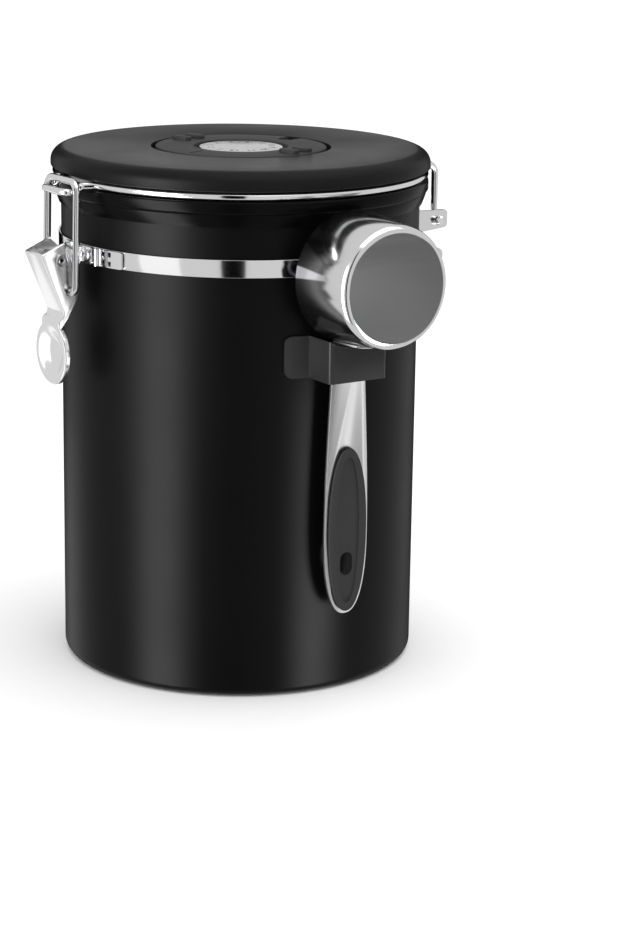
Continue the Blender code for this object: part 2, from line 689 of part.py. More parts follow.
def latch_lever(parent):
    """Channel with two walls and a web, and a dished thumb spoon below it."""
    outline = lever_side_outline()
    made = add_object("latch_lever", upright(plate(outline, 2 * LEVER_HALF_WIDTH), LEVER_HALF_WIDTH), polished, parent)
    web_top = Vector((PIVOT_X - LEVER_WEB_REACH, PIVOT_Z + LEVER_WEB_RISE))
    web_toe = Vector((PIVOT_X - LEVER_NECK_REACH - LEVER_SHEET, PIVOT_Z - LEVER_TOE_DROP))
    along = (web_top - web_toe).normalized()
    inward = Vector((along.y, -along.x))
    high = web_top + along * LEVER_PEAK_RISE + inward * LEVER_SHEET
    low = web_toe + inward * LEVER_SHEET + along * LEVER_SHEET
    far = inward * (LEVER_WEB_REACH + LEVER_BELLY_INSET + LEVER_SHEET)
    hollow = [high, high + far, low + far, low]
    inner_half = LEVER_HALF_WIDTH - LEVER_SHEET
    channel = add_object("lever_channel", upright(plate(hollow, 2 * inner_half), inner_half), polished, parent)
    cut(made, channel)
    for place, radius in (((PIVOT_X, 0, PIVOT_Z), PIVOT_RADIUS), ((BAIL_HOLE_X, 0, BAIL_HOLE_Z), BAIL_WIRE_RADIUS)):
        hole = rod(radius + CLEARANCE, 2 * LEVER_HALF_WIDTH + OVERRUN, (0, 1, 0), place)
        cut(made, add_object("lever_hole", hole, polished, parent))
    fuse(made, add_object("thumb_spoon", thumb_spoon(), polished, parent))
    return made


def thumb_spoon():
    """Round dished press with a small flat middle and a turned-back rim, facing -X."""
    rim = SPOON_RADIUS - SPOON_RIM_WIDTH
    sheet = SPOON_SHEET
    outline = [(0, -SPOON_DISH_DEPTH), (SPOON_FLAT_RADIUS, -SPOON_DISH_DEPTH)]
    outline += [((SPOON_FLAT_RADIUS + rim) / 2, -SPOON_DISH_DEPTH * SPOON_MIDDLE_SHARE), (rim, 0)]
    outline += [(SPOON_RADIUS - sheet / 2, 0), (SPOON_RADIUS, -sheet / 2), (SPOON_RADIUS, -SPOON_FLANGE_DEPTH)]
    outline += [(SPOON_RADIUS - sheet, -SPOON_FLANGE_DEPTH), (SPOON_RADIUS - sheet, -sheet), (rim, -sheet)]
    outline += [((SPOON_FLAT_RADIUS + rim) / 2, -SPOON_DISH_DEPTH * SPOON_MIDDLE_SHARE - sheet)]
    outline += [(SPOON_FLAT_RADIUS, -SPOON_DISH_DEPTH - sheet), (0, -SPOON_DISH_DEPTH - sheet)]
    place = (PIVOT_X - SPOON_REACH, 0, PIVOT_Z - SPOON_DROP)
    return aim(turned(outline, PART_STEPS), (-1, 0, 0), place)


def bail_wire(parent):
    """Wire loop: both ends sit in the lever's walls, the crossbar lies over the nose."""
    end_y = LEVER_HALF_WIDTH - LEVER_SHEET - BAIL_END_INSET
    corners = [((BAIL_HOLE_X, -end_y, BAIL_HOLE_Z), 0)]
    corners += [((BAIL_HOLE_X, -BAIL_HALF_WIDTH, BAIL_HOLE_Z), BAIL_END_BEND_RADIUS)]
    corners += [((CROSSBAR_X, -BAIL_HALF_WIDTH, CROSSBAR_Z), BAIL_TOP_BEND_RADIUS)]
    corners += [((x, -y, z), radius) for (x, y, z), radius in reversed(corners)]
    points = rounded(corners, BEND_STEPS, closed=False)
    return wire("bail_wire", points, BAIL_WIRE_RADIUS, polished, parent)


def lid_wire(parent):
    """One bent wire: two hinge legs, the ring under the lid and the nose that the bail holds."""
    stub = HINGE_HALF_SPREAD + LID_WIRE_RADIUS + CLEARANCE + HINGE_EAR_THICKNESS + HINGE_END_STUB
    join = -atan2(HINGE_HALF_SPREAD, RING_WIRE_RADIUS)
    join_x = RING_WIRE_RADIUS * cos(join)
    root = acos(-sqrt(1 - (NOSE_ROOT_HALF_WIDTH / RING_WIRE_RADIUS) ** 2))
    nose_x = CROSSBAR_X - NOSE_HOOK
    shoulder_x = -(COLLAR_RADIUS + LID_WIRE_RADIUS + NOSE_BEND_RADIUS / 2)
    dip_x = CROSSBAR_X + NOSE_BEND_RADIUS
    start = join - (HINGE_TOP_BEND_RADIUS / 2) / RING_WIRE_RADIUS
    turns = RING_STEPS // 2
    ring = []
    for index in range(turns + 1):
        angle = start + (-root - start) * index / turns
        ring.append((RING_WIRE_RADIUS * cos(angle), RING_WIRE_RADIUS * sin(angle), RING_HEIGHT))
    legs = [
        ((HINGE_X, -stub, HINGE_Z), 0),
        ((HINGE_X, -HINGE_HALF_SPREAD, HINGE_Z), HINGE_END_BEND_RADIUS),
        ((HINGE_X, -HINGE_HALF_SPREAD, RING_HEIGHT), HINGE_TOP_BEND_RADIUS),
        ((join_x, -HINGE_HALF_SPREAD, RING_HEIGHT), HINGE_END_BEND_RADIUS),
        (ring[0], 0),
    ]
    nose = [
        (ring[-2], 0),
        (ring[-1], 0),
        ((shoulder_x, -NOSE_HALF_WIDTH - NOSE_BEND_RADIUS / 2, RING_HEIGHT - NOSE_LIFT / 2), NOSE_BEND_RADIUS),
        ((dip_x, -NOSE_HALF_WIDTH, NOSE_Z), NOSE_BEND_RADIUS),
        ((nose_x, -NOSE_HALF_WIDTH, NOSE_Z + NOSE_LIFT), NOSE_CORNER_RADIUS),
        ((nose_x, NOSE_HALF_WIDTH, NOSE_Z + NOSE_LIFT), NOSE_CORNER_RADIUS),
    ]
    first = rounded(legs, BEND_STEPS, closed=False)
    tip = rounded(nose, BEND_STEPS, closed=False)
    half = first + [Vector(point) for point in ring[1:-2]] + tip[:-1]
    other = [Vector((point[0], -point[1], point[2])) for point in reversed(half)]
    return wire("lid_wire", half + other, LID_WIRE_RADIUS, polished, parent)


def hinge_ear_outline():
    """Ear of the hinge bracket, with its outer corners rounded."""
    root = PLATE_INNER + HINGE_PLATE_THICKNESS
    root *= cos(HINGE_PLATE_HALF_WIDTH / root)
    tip = HINGE_X + HINGE_EAR_REACH
    top = HINGE_Z + HINGE_EAR_RISE
    low = HINGE_Z - HINGE_EAR_DROP
    root -= HINGE_PLATE_THICKNESS / 2
    return rounded([
        ((root, low - HINGE_EAR_CORNER), 0), ((tip, low), HINGE_EAR_CORNER),
        ((tip, top), HINGE_EAR_CORNER), ((root, top + CLEARANCE), 0),
    ])


def hinge_tab_outline():
    """Small lower tab of the hinge bracket."""
    root = PLATE_INNER + HINGE_PLATE_THICKNESS
    root *= cos(HINGE_PLATE_HALF_WIDTH / root)
    low = BAND_CENTRE_HEIGHT - HINGE_PLATE_DROP
    tip = PLATE_INNER + HINGE_TAB_REACH
    root -= HINGE_PLATE_THICKNESS / 2
    return rounded([
        ((root, low), 0), ((tip, low), HINGE_TAB_CORNER),
        ((tip, low + HINGE_TAB_HEIGHT), HINGE_TAB_CORNER), ((root, low + HINGE_TAB_HEIGHT), 0),
    ])


def hinge_bracket(drill):
    """Tall plate on the band with two ears for the ends of the lid wire."""
    low = BAND_CENTRE_HEIGHT - HINGE_PLATE_DROP
    high = BAND_CENTRE_HEIGHT + HINGE_PLATE_RISE
    ear_inner = HINGE_HALF_SPREAD + LID_WIRE_RADIUS + CLEARANCE
    ear_outer = ear_inner + HINGE_EAR_THICKNESS
    half = HINGE_PLATE_HALF_WIDTH + HINGE_EAR_THICKNESS
    corner = HINGE_PLATE_CORNER
    outline = rounded([((-half, low), corner), ((half, low), corner), ((half, high), corner), ((-half, high), corner)])
    made = add_object("hinge_bracket", wrapped(outline, PLATE_INNER, HINGE_PLATE_THICKNESS, 0, 8), brushed)
    for index, side in enumerate((-1, 1)):
        start = ear_outer if side > 0 else -ear_inner
        for label, profile in (("ear", hinge_ear_outline()), ("tab", hinge_tab_outline())):
            flap = upright(plate(profile, HINGE_EAR_THICKNESS), start)
            fuse(made, add_object(f"hinge_{label}_{index}", flap, brushed))
    bore = rod(LID_WIRE_RADIUS + CLEARANCE, 2 * (ear_outer + OVERRUN), (0, 1, 0), (HINGE_X, 0, HINGE_Z))
    cut(made, add_object("hinge_bore", bore, brushed))
    cut(made, drill)
    return made


def lid_cover(parent):
    """Pressed cover with a rounded shoulder, a turned-in hem and the dial's well."""
    sheet = COVER_SHEET
    bore = AXLE_RADIUS + CLEARANCE
    shoulder = COVER_RADIUS - COVER_SHOULDER_WIDTH

    def shoulder_arc(width, height, top, steps):
        points = []
        for index in range(steps + 1):
            lean = pi / 2 * index / steps
            points.append((shoulder + width * sin(lean), top - height * (1 - cos(lean))))
        return points

    outer = shoulder_arc(COVER_SHOULDER_WIDTH, COVER_SHOULDER_HEIGHT, COVER_TOP, COVER_SHOULDER_STEPS)
    thin = COVER_SHOULDER_WIDTH - sheet
    inner = shoulder_arc(thin, COVER_SHOULDER_HEIGHT - sheet, COVER_TOP - sheet, EDGE_STEPS)
    outline = [(bore, WELL_FLOOR), (WELL_RADIUS, WELL_FLOOR), (WELL_RADIUS, COVER_TOP - CLEARANCE)]
    outline += [(WELL_RADIUS + CLEARANCE, COVER_TOP)]
    outline += outer
    outline += [(COVER_RADIUS, COVER_BOTTOM + sheet / 2), (COVER_RADIUS - sheet / 2, COVER_BOTTOM)]
    outline += [(COVER_RADIUS - COVER_HEM, COVER_BOTTOM), (COVER_RADIUS - COVER_HEM, COVER_BOTTOM + sheet)]
    outline += list(reversed(inner))
    outline += [(WELL_RADIUS + sheet, COVER_TOP - sheet), (WELL_RADIUS + sheet, WELL_UNDERSIDE)]
    outline += [(bore, WELL_UNDERSIDE)]
    return add_object("lid_cover", turned(outline), painted, parent)


def lid_inner(parent):
    """Plug plate: holds the wire ring under the cover's hem and the gasket round its plug."""
    flange = COVER_RADIUS - COVER_HEM - CLEARANCE
    seat = RING_WIRE_RADIUS - LID_WIRE_RADIUS - CLEARANCE
    gasket_seat = GASKET_TOP + CLEARANCE
    flange_top = FLANGE_BOTTOM + INNER_FLANGE_THICKNESS
    rib_top = COVER_TOP - COVER_SHEET - CLEARANCE
    floor_top = PLUG_BOTTOM + INNER_SHEET
    bore = VALVE_TUBE_RADIUS + CLEARANCE
    chamfer = INNER_PLUG_CHAMFER
    outline = [(bore, PLUG_BOTTOM), (INNER_PLUG_RADIUS - chamfer, PLUG_BOTTOM)]
    outline += [(INNER_PLUG_RADIUS, PLUG_BOTTOM + chamfer), (INNER_PLUG_RADIUS, gasket_seat)]
    outline += [(seat, gasket_seat), (seat, FLANGE_BOTTOM), (flange, FLANGE_BOTTOM), (flange, flange_top)]
    outline += [(INNER_RIB_RADIUS, flange_top), (INNER_RIB_RADIUS, rib_top)]
    outline += [(INNER_RIB_RADIUS - INNER_RIB_THICKNESS, rib_top)]
    outline += [(INNER_RIB_RADIUS - INNER_RIB_THICKNESS, flange_top)]
    outline += [(INNER_PLUG_RADIUS - INNER_SHEET, flange_top), (INNER_PLUG_RADIUS - INNER_SHEET, floor_top)]
    outline += [(bore, floor_top)]
    return add_object("lid_inner", turned(outline, RING_STEPS), black_plastic, parent)


def silicone(name):
    return material(name, (0.62, 0.62, 0.60), 0.55, 0)


def lid_gasket(parent):
    """Flat sealing ring with a raised lip on its lower face."""
    inner = INNER_PLUG_RADIUS + CLEARANCE
    outer = RING_WIRE_RADIUS - LID_WIRE_RADIUS - 2 * CLEARANCE
    middle = (inner + outer) / 2
    lip = GASKET_LIP
    outline = [(inner, GASKET_BOTTOM + lip), (middle - lip, GASKET_BOTTOM + lip), (middle, GASKET_BOTTOM)]
    outline += [(middle + lip, GASKET_BOTTOM), (middle + 2 * lip, GASKET_BOTTOM + lip)]
    outline += [(outer, GASKET_BOTTOM + lip), (outer, GASKET_TOP), (inner, GASKET_TOP)]
    return add_object("lid_gasket", turned(outline, RING_STEPS), silicone, parent)


def date_plate(parent):
    """Thin disc under the turning ring that carries the numbers of the days."""
    bore = AXLE_RADIUS + CLEARANCE
    outline = [(bore, DATE_PLATE_BOTTOM), (DAY_RING_RADIUS, DATE_PLATE_BOTTOM)]
    outline += [(DAY_RING_RADIUS, DATE_PLATE_TOP), (bore, DATE_PLATE_TOP)]

    def white(name):
        return material(name, (0.80, 0.80, 0.79), 0.45, 0)

    return add_object("date_plate", turned(outline, RING_STEPS), white, parent)


def dial_place(radius, angle, sideways=0):
    """A point on the dial: distance from the centre, turn from the window, and offset to one side."""
    turn = DIAL_ANGLE + angle
    return Vector((radius * cos(turn) - sideways * sin(turn), radius * sin(turn) + sideways * cos(turn), 0))


def slot_outline(half_width, start, end, angle, sideways=0):
    """Straight slot along a radius of the dial, with round ends."""
    reach = end - half_width
    points = []
    for x, y in arc((start + half_width, 0), half_width, pi / 2, 3 * pi / 2, 2 * ARC_STEPS):
        points.append(dial_place(x, angle, y + sideways))
    for x, y in arc((reach, 0), half_width, -pi / 2, pi / 2, 2 * ARC_STEPS):
        points.append(dial_place(x, angle, y + sideways))
    return points


def lifted(shape, height):
    bmesh.ops.translate(shape, vec=(0, 0, height), verts=shape.verts)
    return shape


def day_ring(parent):
    """Turning ring with a window to its edge, two pairs of grips and a line mark."""
    bore = MONTH_DISC_RADIUS + MONTH_GAP
    edge = DISC_EDGE
    outline = [(bore, RING_BOTTOM), (DAY_RING_RADIUS, RING_BOTTOM), (DAY_RING_RADIUS, DIAL_TOP - edge)]
    outline += [(DAY_RING_RADIUS - edge, DIAL_TOP), (bore, DIAL_TOP)]
    made = add_object("day_ring", turned(outline), black_plastic, parent)
    for side in (pi / 2, -pi / 2):
        for place in (-NUB_SPACING / 2, NUB_SPACING / 2):
            start = NUB_ORBIT - NUB_LENGTH / 2
            nub = slot_outline(NUB_WIDTH / 2, start, start + NUB_LENGTH, side, place)
            rise = NUB_HEIGHT + DAY_RING_THICKNESS / 2
            shape = lifted(plate(nub, rise), DIAL_TOP - DAY_RING_THICKNESS / 2)
            fuse(made, add_object("dial_grip", shape, black_plastic, parent))
    window = slot_outline(WINDOW_HALF_WIDTH, WINDOW_INNER_RADIUS, DAY_RING_RADIUS + 2 * WINDOW_HALF_WIDTH, 0)
    punch = lifted(plate(window, DAY_RING_THICKNESS + 2 * OVERRUN), RING_BOTTOM - OVERRUN)
    cut(made, add_object("window_punch", punch, black_plastic, parent))
    half = MARK_WIDTH / 2
    mark = slot_outline(half, MARK_INNER_RADIUS, MARK_OUTER_RADIUS, pi)
    groove = lifted(plate(mark, MARK_DEPTH + OVERRUN), DIAL_TOP - MARK_DEPTH)
    cut(made, add_object("mark_cutter", groove, black_plastic, parent))
    return made


def month_disc(parent):
    """Steel disc inside the ring, with the numbers of the months."""
    top = DIAL_TOP + MONTH_DISC_RISE
    edge = DISC_EDGE
    underside = top - MONTH_DISC_THICKNESS
    outline = [(0, RING_BOTTOM), (MONTH_HUB_RADIUS, RING_BOTTOM), (MONTH_HUB_RADIUS, underside)]
    outline += [(MONTH_DISC_RADIUS, underside), (MONTH_DISC_RADIUS, top - edge)]
    outline += [(MONTH_DISC_RADIUS - edge, top), (0, top)]
    return add_object("month_disc", turned(outline, RING_STEPS), brushed, parent)


def dial_axle(parent):
    """Stub that the dial turns on, headed over under the well."""
    top = RING_BOTTOM - CLEARANCE
    head_top = WELL_UNDERSIDE - CLEARANCE
    head_low = head_top - AXLE_FLANGE_THICKNESS
    outline = [(0, head_low), (AXLE_FLANGE_RADIUS, head_low), (AXLE_FLANGE_RADIUS, head_top)]
    outline += [(AXLE_RADIUS, head_top), (AXLE_RADIUS, top), (0, top)]
    return add_object("dial_axle", turned(outline, SMALL_STEPS), polished, parent)


def valve_body(parent):
    """Vent tube through the plug plate, with a seat drilled with gas holes."""
    flange_low = PLUG_BOTTOM + INNER_SHEET + CLEARANCE
    flange_top = flange_low + VALVE_FLANGE_THICKNESS
    seat_top = PLUG_BOTTOM + INNER_SHEET / 2
    seat_low = seat_top - VALVE_SEAT_THICKNESS
    stem_hole = VALVE_STEM_RADIUS + CLEARANCE
    outline = [(stem_hole, seat_low), (VALVE_BORE_RADIUS, seat_low), (VALVE_BORE_RADIUS, PLUG_BOTTOM)]
    outline += [(VALVE_TUBE_RADIUS, PLUG_BOTTOM), (VALVE_TUBE_RADIUS, flange_low)]
    outline += [(VALVE_FLANGE_RADIUS, flange_low), (VALVE_FLANGE_RADIUS, flange_top)]
    outline += [(VALVE_BORE_RADIUS, flange_top), (VALVE_BORE_RADIUS, seat_top), (stem_hole, seat_top)]
    made = add_object("valve_body", turned(outline, SMALL_STEPS), black_plastic, parent)
    return made, seat_low, seat_top


def valve_holes(made, seat_low, seat_top, parent):
    for index in range(VALVE_HOLE_COUNT):
        turn = FULL_TURN * index / VALVE_HOLE_COUNT
        place = (VALVE_HOLE_ORBIT * cos(turn), VALVE_HOLE_ORBIT * sin(turn), (seat_low + seat_top) / 2)
        drill = rod(VALVE_HOLE_RADIUS, VALVE_SEAT_THICKNESS + OVERRUN, (0, 0, 1), place, SMALL_STEPS // 2)
        cut(made, add_object("gas_drill", drill, black_plastic, parent))


def valve_flap(seat_low, seat_top, parent):
    """Soft disc that lies over the gas holes, held by its own stem."""
    low = seat_top + CLEARANCE
    top = low + VALVE_FLAP_THICKNESS
    outline = [(0, seat_low), (VALVE_STEM_RADIUS, seat_low), (VALVE_STEM_RADIUS, low), (VALVE_FLAP_RADIUS, low)]
    outline += [(VALVE_FLAP_RADIUS, top), (0, top)]
    return add_object("valve_flap", turned(outline, SMALL_STEPS), silicone, parent)


def valve_cap(seat_low, parent):
    """Slotted cap on the underside, with a ring that snaps into the tube."""
    top = PLUG_BOTTOM - CLEARANCE
    low = top - VALVE_CAP_THICKNESS
    ring_outer = VALVE_BORE_RADIUS - CLEARANCE
    ring_inner = ring_outer - VALVE_CAP_RING_WALL
    ring_top = min(top + VALVE_CAP_RING_HEIGHT, seat_low - CLEARANCE)
    edge = VALVE_CAP_THICKNESS / 2
    outline = [(0, low), (VALVE_CAP_RADIUS - edge, low), (VALVE_CAP_RADIUS, low + edge), (VALVE_CAP_RADIUS, top)]
    outline += [(ring_outer, top), (ring_outer, ring_top), (ring_inner, ring_top), (ring_inner, top), (0, top)]
    made = add_object("valve_cap", turned(outline, SMALL_STEPS), black_plastic, parent)
    middle = (VALVE_SLOT_COUNT - 1) / 2
    half = ring_inner * VALVE_SLOT_LENGTH_SHARE
    for index in range(VALVE_SLOT_COUNT):
        place = (index - middle) * VALVE_SLOT_PITCH
        width = VALVE_SLOT_WIDTH / 2
        slot = [(-half, place - width), (half, place - width), (half, place + width), (-half, place + width)]
        punch = lifted(plate(slot, VALVE_CAP_THICKNESS + 2 * OVERRUN), low - OVERRUN)
        cut(made, add_object("cap_slot", punch, black_plastic, parent))
    return made


def scoop_holder():
    """Bent strip on two feet, open at top and bottom, with a cradle for the scoop in its top edge."""
    wall = BODY_RADIUS + CLEARANCE
    front = BODY_RADIUS + HOLDER_REACH
    side = HOLDER_HALF_WIDTH
    sheet = HOLDER_SHEET
    corner = HOLDER_CORNER
    root = -(wall + sheet / 2) * cos(side / wall)
    outline = [((side, root), 0), ((side, -front), corner), ((-side, -front), corner), ((-side, root), 0)]
    thin = side - sheet
    outline += [((-thin, root), 0), ((-thin, -(front - sheet)), corner - sheet)]
    outline += [((thin, -(front - sheet)), corner - sheet), ((thin, root), 0)]
    strip = lifted(plate(rounded(outline), HOLDER_HEIGHT), HOLDER_BOTTOM)
    made = add_object("scoop_holder", strip, painted)
    round_corner = HOLDER_FOOT_CORNER
    for direction in (-1, 1):
        near = direction * thin
        far = direction * (side + HOLDER_FOOT)
        foot = rounded([
            ((near, HOLDER_BOTTOM), 0), ((far, HOLDER_BOTTOM), round_corner),
            ((far, HOLDER_TOP), round_corner), ((near, HOLDER_TOP), 0),
        ])
        fuse(made, add_object("holder_foot", wrapped(foot, wall, sheet, -pi / 2, ARC_STEPS), painted))
    place = (0, -(wall + front) / 2, SCOOP_CENTRE_Z)
    cradle = rod(CRADLE_RADIUS, 2 * HOLDER_REACH, (0, 1, 0), place, ROUND_STEPS)
    cut(made, add_object("holder_cradle", cradle, painted))
    return made


def scoop_cup(parent):
    """Steel bowl on its side: the mouth faces the jar, the flat base faces out."""
    sheet = SCOOP_SHEET
    mouth = SCOOP_MOUTH_RADIUS
    base = SCOOP_BASE_RADIUS
    fillet = SCOOP_BASE_FILLET
    depth = SCOOP_DEPTH
    rim = SCOOP_RIM
    outline = [(0, depth)]
    outline += arc((base - fillet, depth - fillet), fillet, pi / 2, 0, ARC_STEPS)
    outline += [(mouth, rim), (mouth - rim, 0), (mouth - sheet, 0)]
    thin = fillet - sheet
    outline += arc((base - fillet, depth - fillet), thin, 0, pi / 2, ARC_STEPS)
    outline += [(0, depth - sheet)]
    shape = aim(turned(outline, RING_STEPS), (0, -1, 0), (0, SCOOP_MOUTH_Y, SCOOP_CENTRE_Z))
    return add_object("scoop_cup", shape, brushed, parent)


def handle_half_width(height):
    """Half the handle's width at a height: a straight taper above, an oval end below."""
    if height >= HANDLE_WIDE_HEIGHT:
        share = (height - HANDLE_WIDE_HEIGHT) / (HOLDER_TOP - HANDLE_WIDE_HEIGHT)
        ease = share * share * (2 - share)
        return HANDLE_WIDE_HALF_WIDTH + (HANDLE_TOP_HALF_WIDTH - HANDLE_WIDE_HALF_WIDTH) * ease
    drop = (HANDLE_WIDE_HEIGHT - height) / (HANDLE_WIDE_HEIGHT - HANDLE_TIP_HEIGHT)
    return HANDLE_WIDE_HALF_WIDTH * max(0, 1 - drop ** HANDLE_TIP_POWER) ** (1 / HANDLE_TIP_POWER)


def handle_outline():
    """Outline of the handle plate, from the tip up one side and down the other."""
    middle_radius = (TAB_INNER_RADIUS + TAB_OUTER_RADIUS) / 2
    top = SCOOP_CENTRE_Z - sqrt(middle_radius ** 2 - HANDLE_TOP_HALF_WIDTH ** 2)
    side = []
    for index in range(1, HANDLE_SIDE_STEPS + 1):
        lean = pi / 2 * index / HANDLE_SIDE_STEPS
        height = HANDLE_WIDE_HEIGHT - (HANDLE_WIDE_HEIGHT - HANDLE_TIP_HEIGHT) * cos(lean)
        side.append((handle_half_width(height), height))
    for index in range(1, HANDLE_SIDE_STEPS + 1):
        height = HANDLE_WIDE_HEIGHT + (top - HANDLE_WIDE_HEIGHT) * index / HANDLE_SIDE_STEPS
        side.append((handle_half_width(height), height))
    return [(0, HANDLE_TIP_HEIGHT)] + side + [(-x, z) for x, z in reversed(side)]


def handle_tab():
    """Saddle under the bowl: a short strip bent to the bowl's round side and its taper."""
    slope = (SCOOP_MOUTH_RADIUS - SCOOP_BASE_RADIUS) / SCOOP_DEPTH
    length = HANDLE_SHEET + HANDLE_TAB_LENGTH
    drop = slope * HANDLE_TAB_LENGTH
    lean = asin(HANDLE_TOP_HALF_WIDTH / TAB_INNER_RADIUS)
    profile = [(TAB_INNER_RADIUS, 0), (TAB_OUTER_RADIUS, 0), (TAB_OUTER_RADIUS, HANDLE_SHEET)]
    profile += [(TAB_OUTER_RADIUS - drop, length), (TAB_INNER_RADIUS - drop, length), (TAB_INNER_RADIUS, HANDLE_SHEET)]
    shape = bmesh.new()
    corners = [shape.verts.new((radius * sin(-lean), -along, -radius * cos(-lean))) for radius, along in profile]
    face = shape.faces.new(corners)
    steps = 2 * ARC_STEPS
    bmesh.ops.spin(
        shape, geom=[face] + list(face.edges) + corners, cent=(0, 0, 0), axis=(0, -1, 0),
        angle=2 * lean, steps=steps,
    )
    bmesh.ops.remove_doubles(shape, verts=shape.verts, dist=MERGE_DISTANCE)
    bmesh.ops.recalc_face_normals(shape, faces=shape.faces)
    bmesh.ops.translate(shape, vec=(0, HANDLE_BACK_Y, SCOOP_CENTRE_Z), verts=shape.verts)
    return shape


def scoop_handle(parent):
    """Flat handle with a saddle bent out under the bowl, and a window for the grip."""
    made_shape = upright(plate(handle_outline(), HANDLE_SHEET), HANDLE_BACK_Y)
    made = add_object("scoop_handle", made_shape, brushed, parent)
    seat = rod(TAB_INNER_RADIUS, 2 * SCOOP_DEPTH, (0, 1, 0), (0, HANDLE_BACK_Y, SCOOP_CENTRE_Z), ROUND_STEPS)
    cut(made, add_object("handle_seat", seat, brushed, parent))
    fuse(made, add_object("handle_tab", handle_tab(), brushed, parent))
    window = layered(grip_outline, [(CLEARANCE, HANDLE_BACK_Y + OVERRUN), (CLEARANCE, HANDLE_FRONT_Y - OVERRUN)])
    cut(made, add_object("grip_window", window, brushed, parent))
    return made


def grip_outline(offset):
    """Egg-shaped outline of the grip's core, grown by an offset."""
    half_width = HANDLE_WIDE_HALF_WIDTH - GRIP_MARGIN - GRIP_FLANGE + offset
    half_length = GRIP_HALF_LENGTH - GRIP_FLANGE + offset
    points = []
    for index in range(GRIP_OUTLINE_STEPS):
        turn = FULL_TURN * index / GRIP_OUTLINE_STEPS
        share = 2 / GRIP_POWER
        x = half_width * abs(cos(turn)) ** share * (1 if cos(turn) >= 0 else -1)
        z = half_length * abs(sin(turn)) ** share * (1 if sin(turn) >= 0 else -1)
        points.append((x, GRIP_CENTRE_HEIGHT + z))
    return points


def rubber(name):
    return material(name, (0.020, 0.020, 0.021), 0.62, 0)


def scoop_grip(parent):
    """Grip that fills the handle's window: a flange each side, a dished face and a hanging hole."""
    front = HANDLE_FRONT_Y - CLEARANCE
    back = HANDLE_BACK_Y + CLEARANCE
    top = front - GRIP_RISE
    layers = [
        (GRIP_FLANGE - GRIP_EDGE, back + GRIP_BACK_RISE), (GRIP_FLANGE, back + GRIP_BACK_RISE - GRIP_EDGE),
        (GRIP_FLANGE, back), (0, back), (0, front), (GRIP_FLANGE, front), (GRIP_FLANGE, top + GRIP_EDGE),
        (GRIP_FLANGE - GRIP_EDGE, top), (GRIP_FLANGE - GRIP_DISH_MARGIN + GRIP_EDGE, top),
        (GRIP_FLANGE - GRIP_DISH_MARGIN, top + GRIP_DISH),
    ]
    made = add_object("scoop_grip", layered(grip_outline, layers), rubber, parent)
    half = HANG_HOLE_HALF_WIDTH
    low = HANG_HOLE_HEIGHT - HANG_HOLE_LENGTH / 2 + half
    high = HANG_HOLE_HEIGHT + HANG_HOLE_LENGTH / 2 - half
    hole = arc((0, low), half, -pi, 0, 2 * ARC_STEPS) + arc((0, high), half, 0, pi, 2 * ARC_STEPS)
    punch = upright(plate(hole, SCOOP_DEPTH), HANDLE_BACK_Y + SCOOP_DEPTH / 2)
    cut(made, add_object("hanging_hole", punch, rubber, parent))
    return made


def build():
    clear_scene()
    lid = pivot("lid_axis", (HINGE_X, 0, HINGE_Z))
    lever = pivot("lever_axis", (PIVOT_X, 0, PIVOT_Z))
    bail = pivot("bail_axis", (BAIL_HOLE_X, 0, BAIL_HOLE_Z))
    day = pivot("day_axis", (0, 0, RING_BOTTOM))
    month = pivot("month_axis", (0, 0, RING_BOTTOM))
    scoop = pivot("scoop_slide", (0, HANDLE_BACK_Y, HOLDER_TOP))

    latch_drill = rivet_cutters("latch_drill", LATCH_RIVET_OFFSET, pi, PLATE_INNER, LATCH_PLATE_THICKNESS)
    hinge_drill = rivet_cutters("hinge_drill", HINGE_RIVET_OFFSET, 0, PLATE_INNER, HINGE_PLATE_THICKNESS)

    canister_body()
    collar_ring()
    neck_band((latch_drill, hinge_drill))
    band_buckle()
    latch_base(latch_drill)
    rivets("latch_rivet", LATCH_RIVET_OFFSET, pi, PLATE_INNER, LATCH_PLATE_THICKNESS)
    latch_pivot()
    latch_lever(lever)
    bail_wire(bail)
    hinge_bracket(hinge_drill)
    rivets("hinge_rivet", HINGE_RIVET_OFFSET, 0, PLATE_INNER, HINGE_PLATE_THICKNESS)
    lid_wire(lid)
    lid_cover(lid)
    lid_inner(lid)
    lid_gasket(lid)
    date_plate(lid)
    dial_axle(lid)
    day_ring(day)
    month_disc(month)
    body, seat_low, seat_top = valve_body(lid)
    valve_holes(body, seat_low, seat_top, lid)
    valve_flap(seat_low, seat_top, lid)
    valve_cap(seat_low, lid)
    scoop_holder()
    scoop_cup(scoop)
    scoop_handle(scoop)
    scoop_grip(scoop)


build()
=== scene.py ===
"""Visual model of the coffee canister: smooth pieces, finishes, light and camera, laid out as an add-on.

The pieces follow the sizes of the moving model and ride on its bodies.
The latch is at -X, the lid hinge at +X and the scoop at -Y.
"""

import json
from math import acos, asin, atan2, cos, pi, radians, sin, sqrt, tan

import bpy
from bpy.props import FloatProperty, FloatVectorProperty, IntProperty, PointerProperty
from mathutils import Matrix, Vector


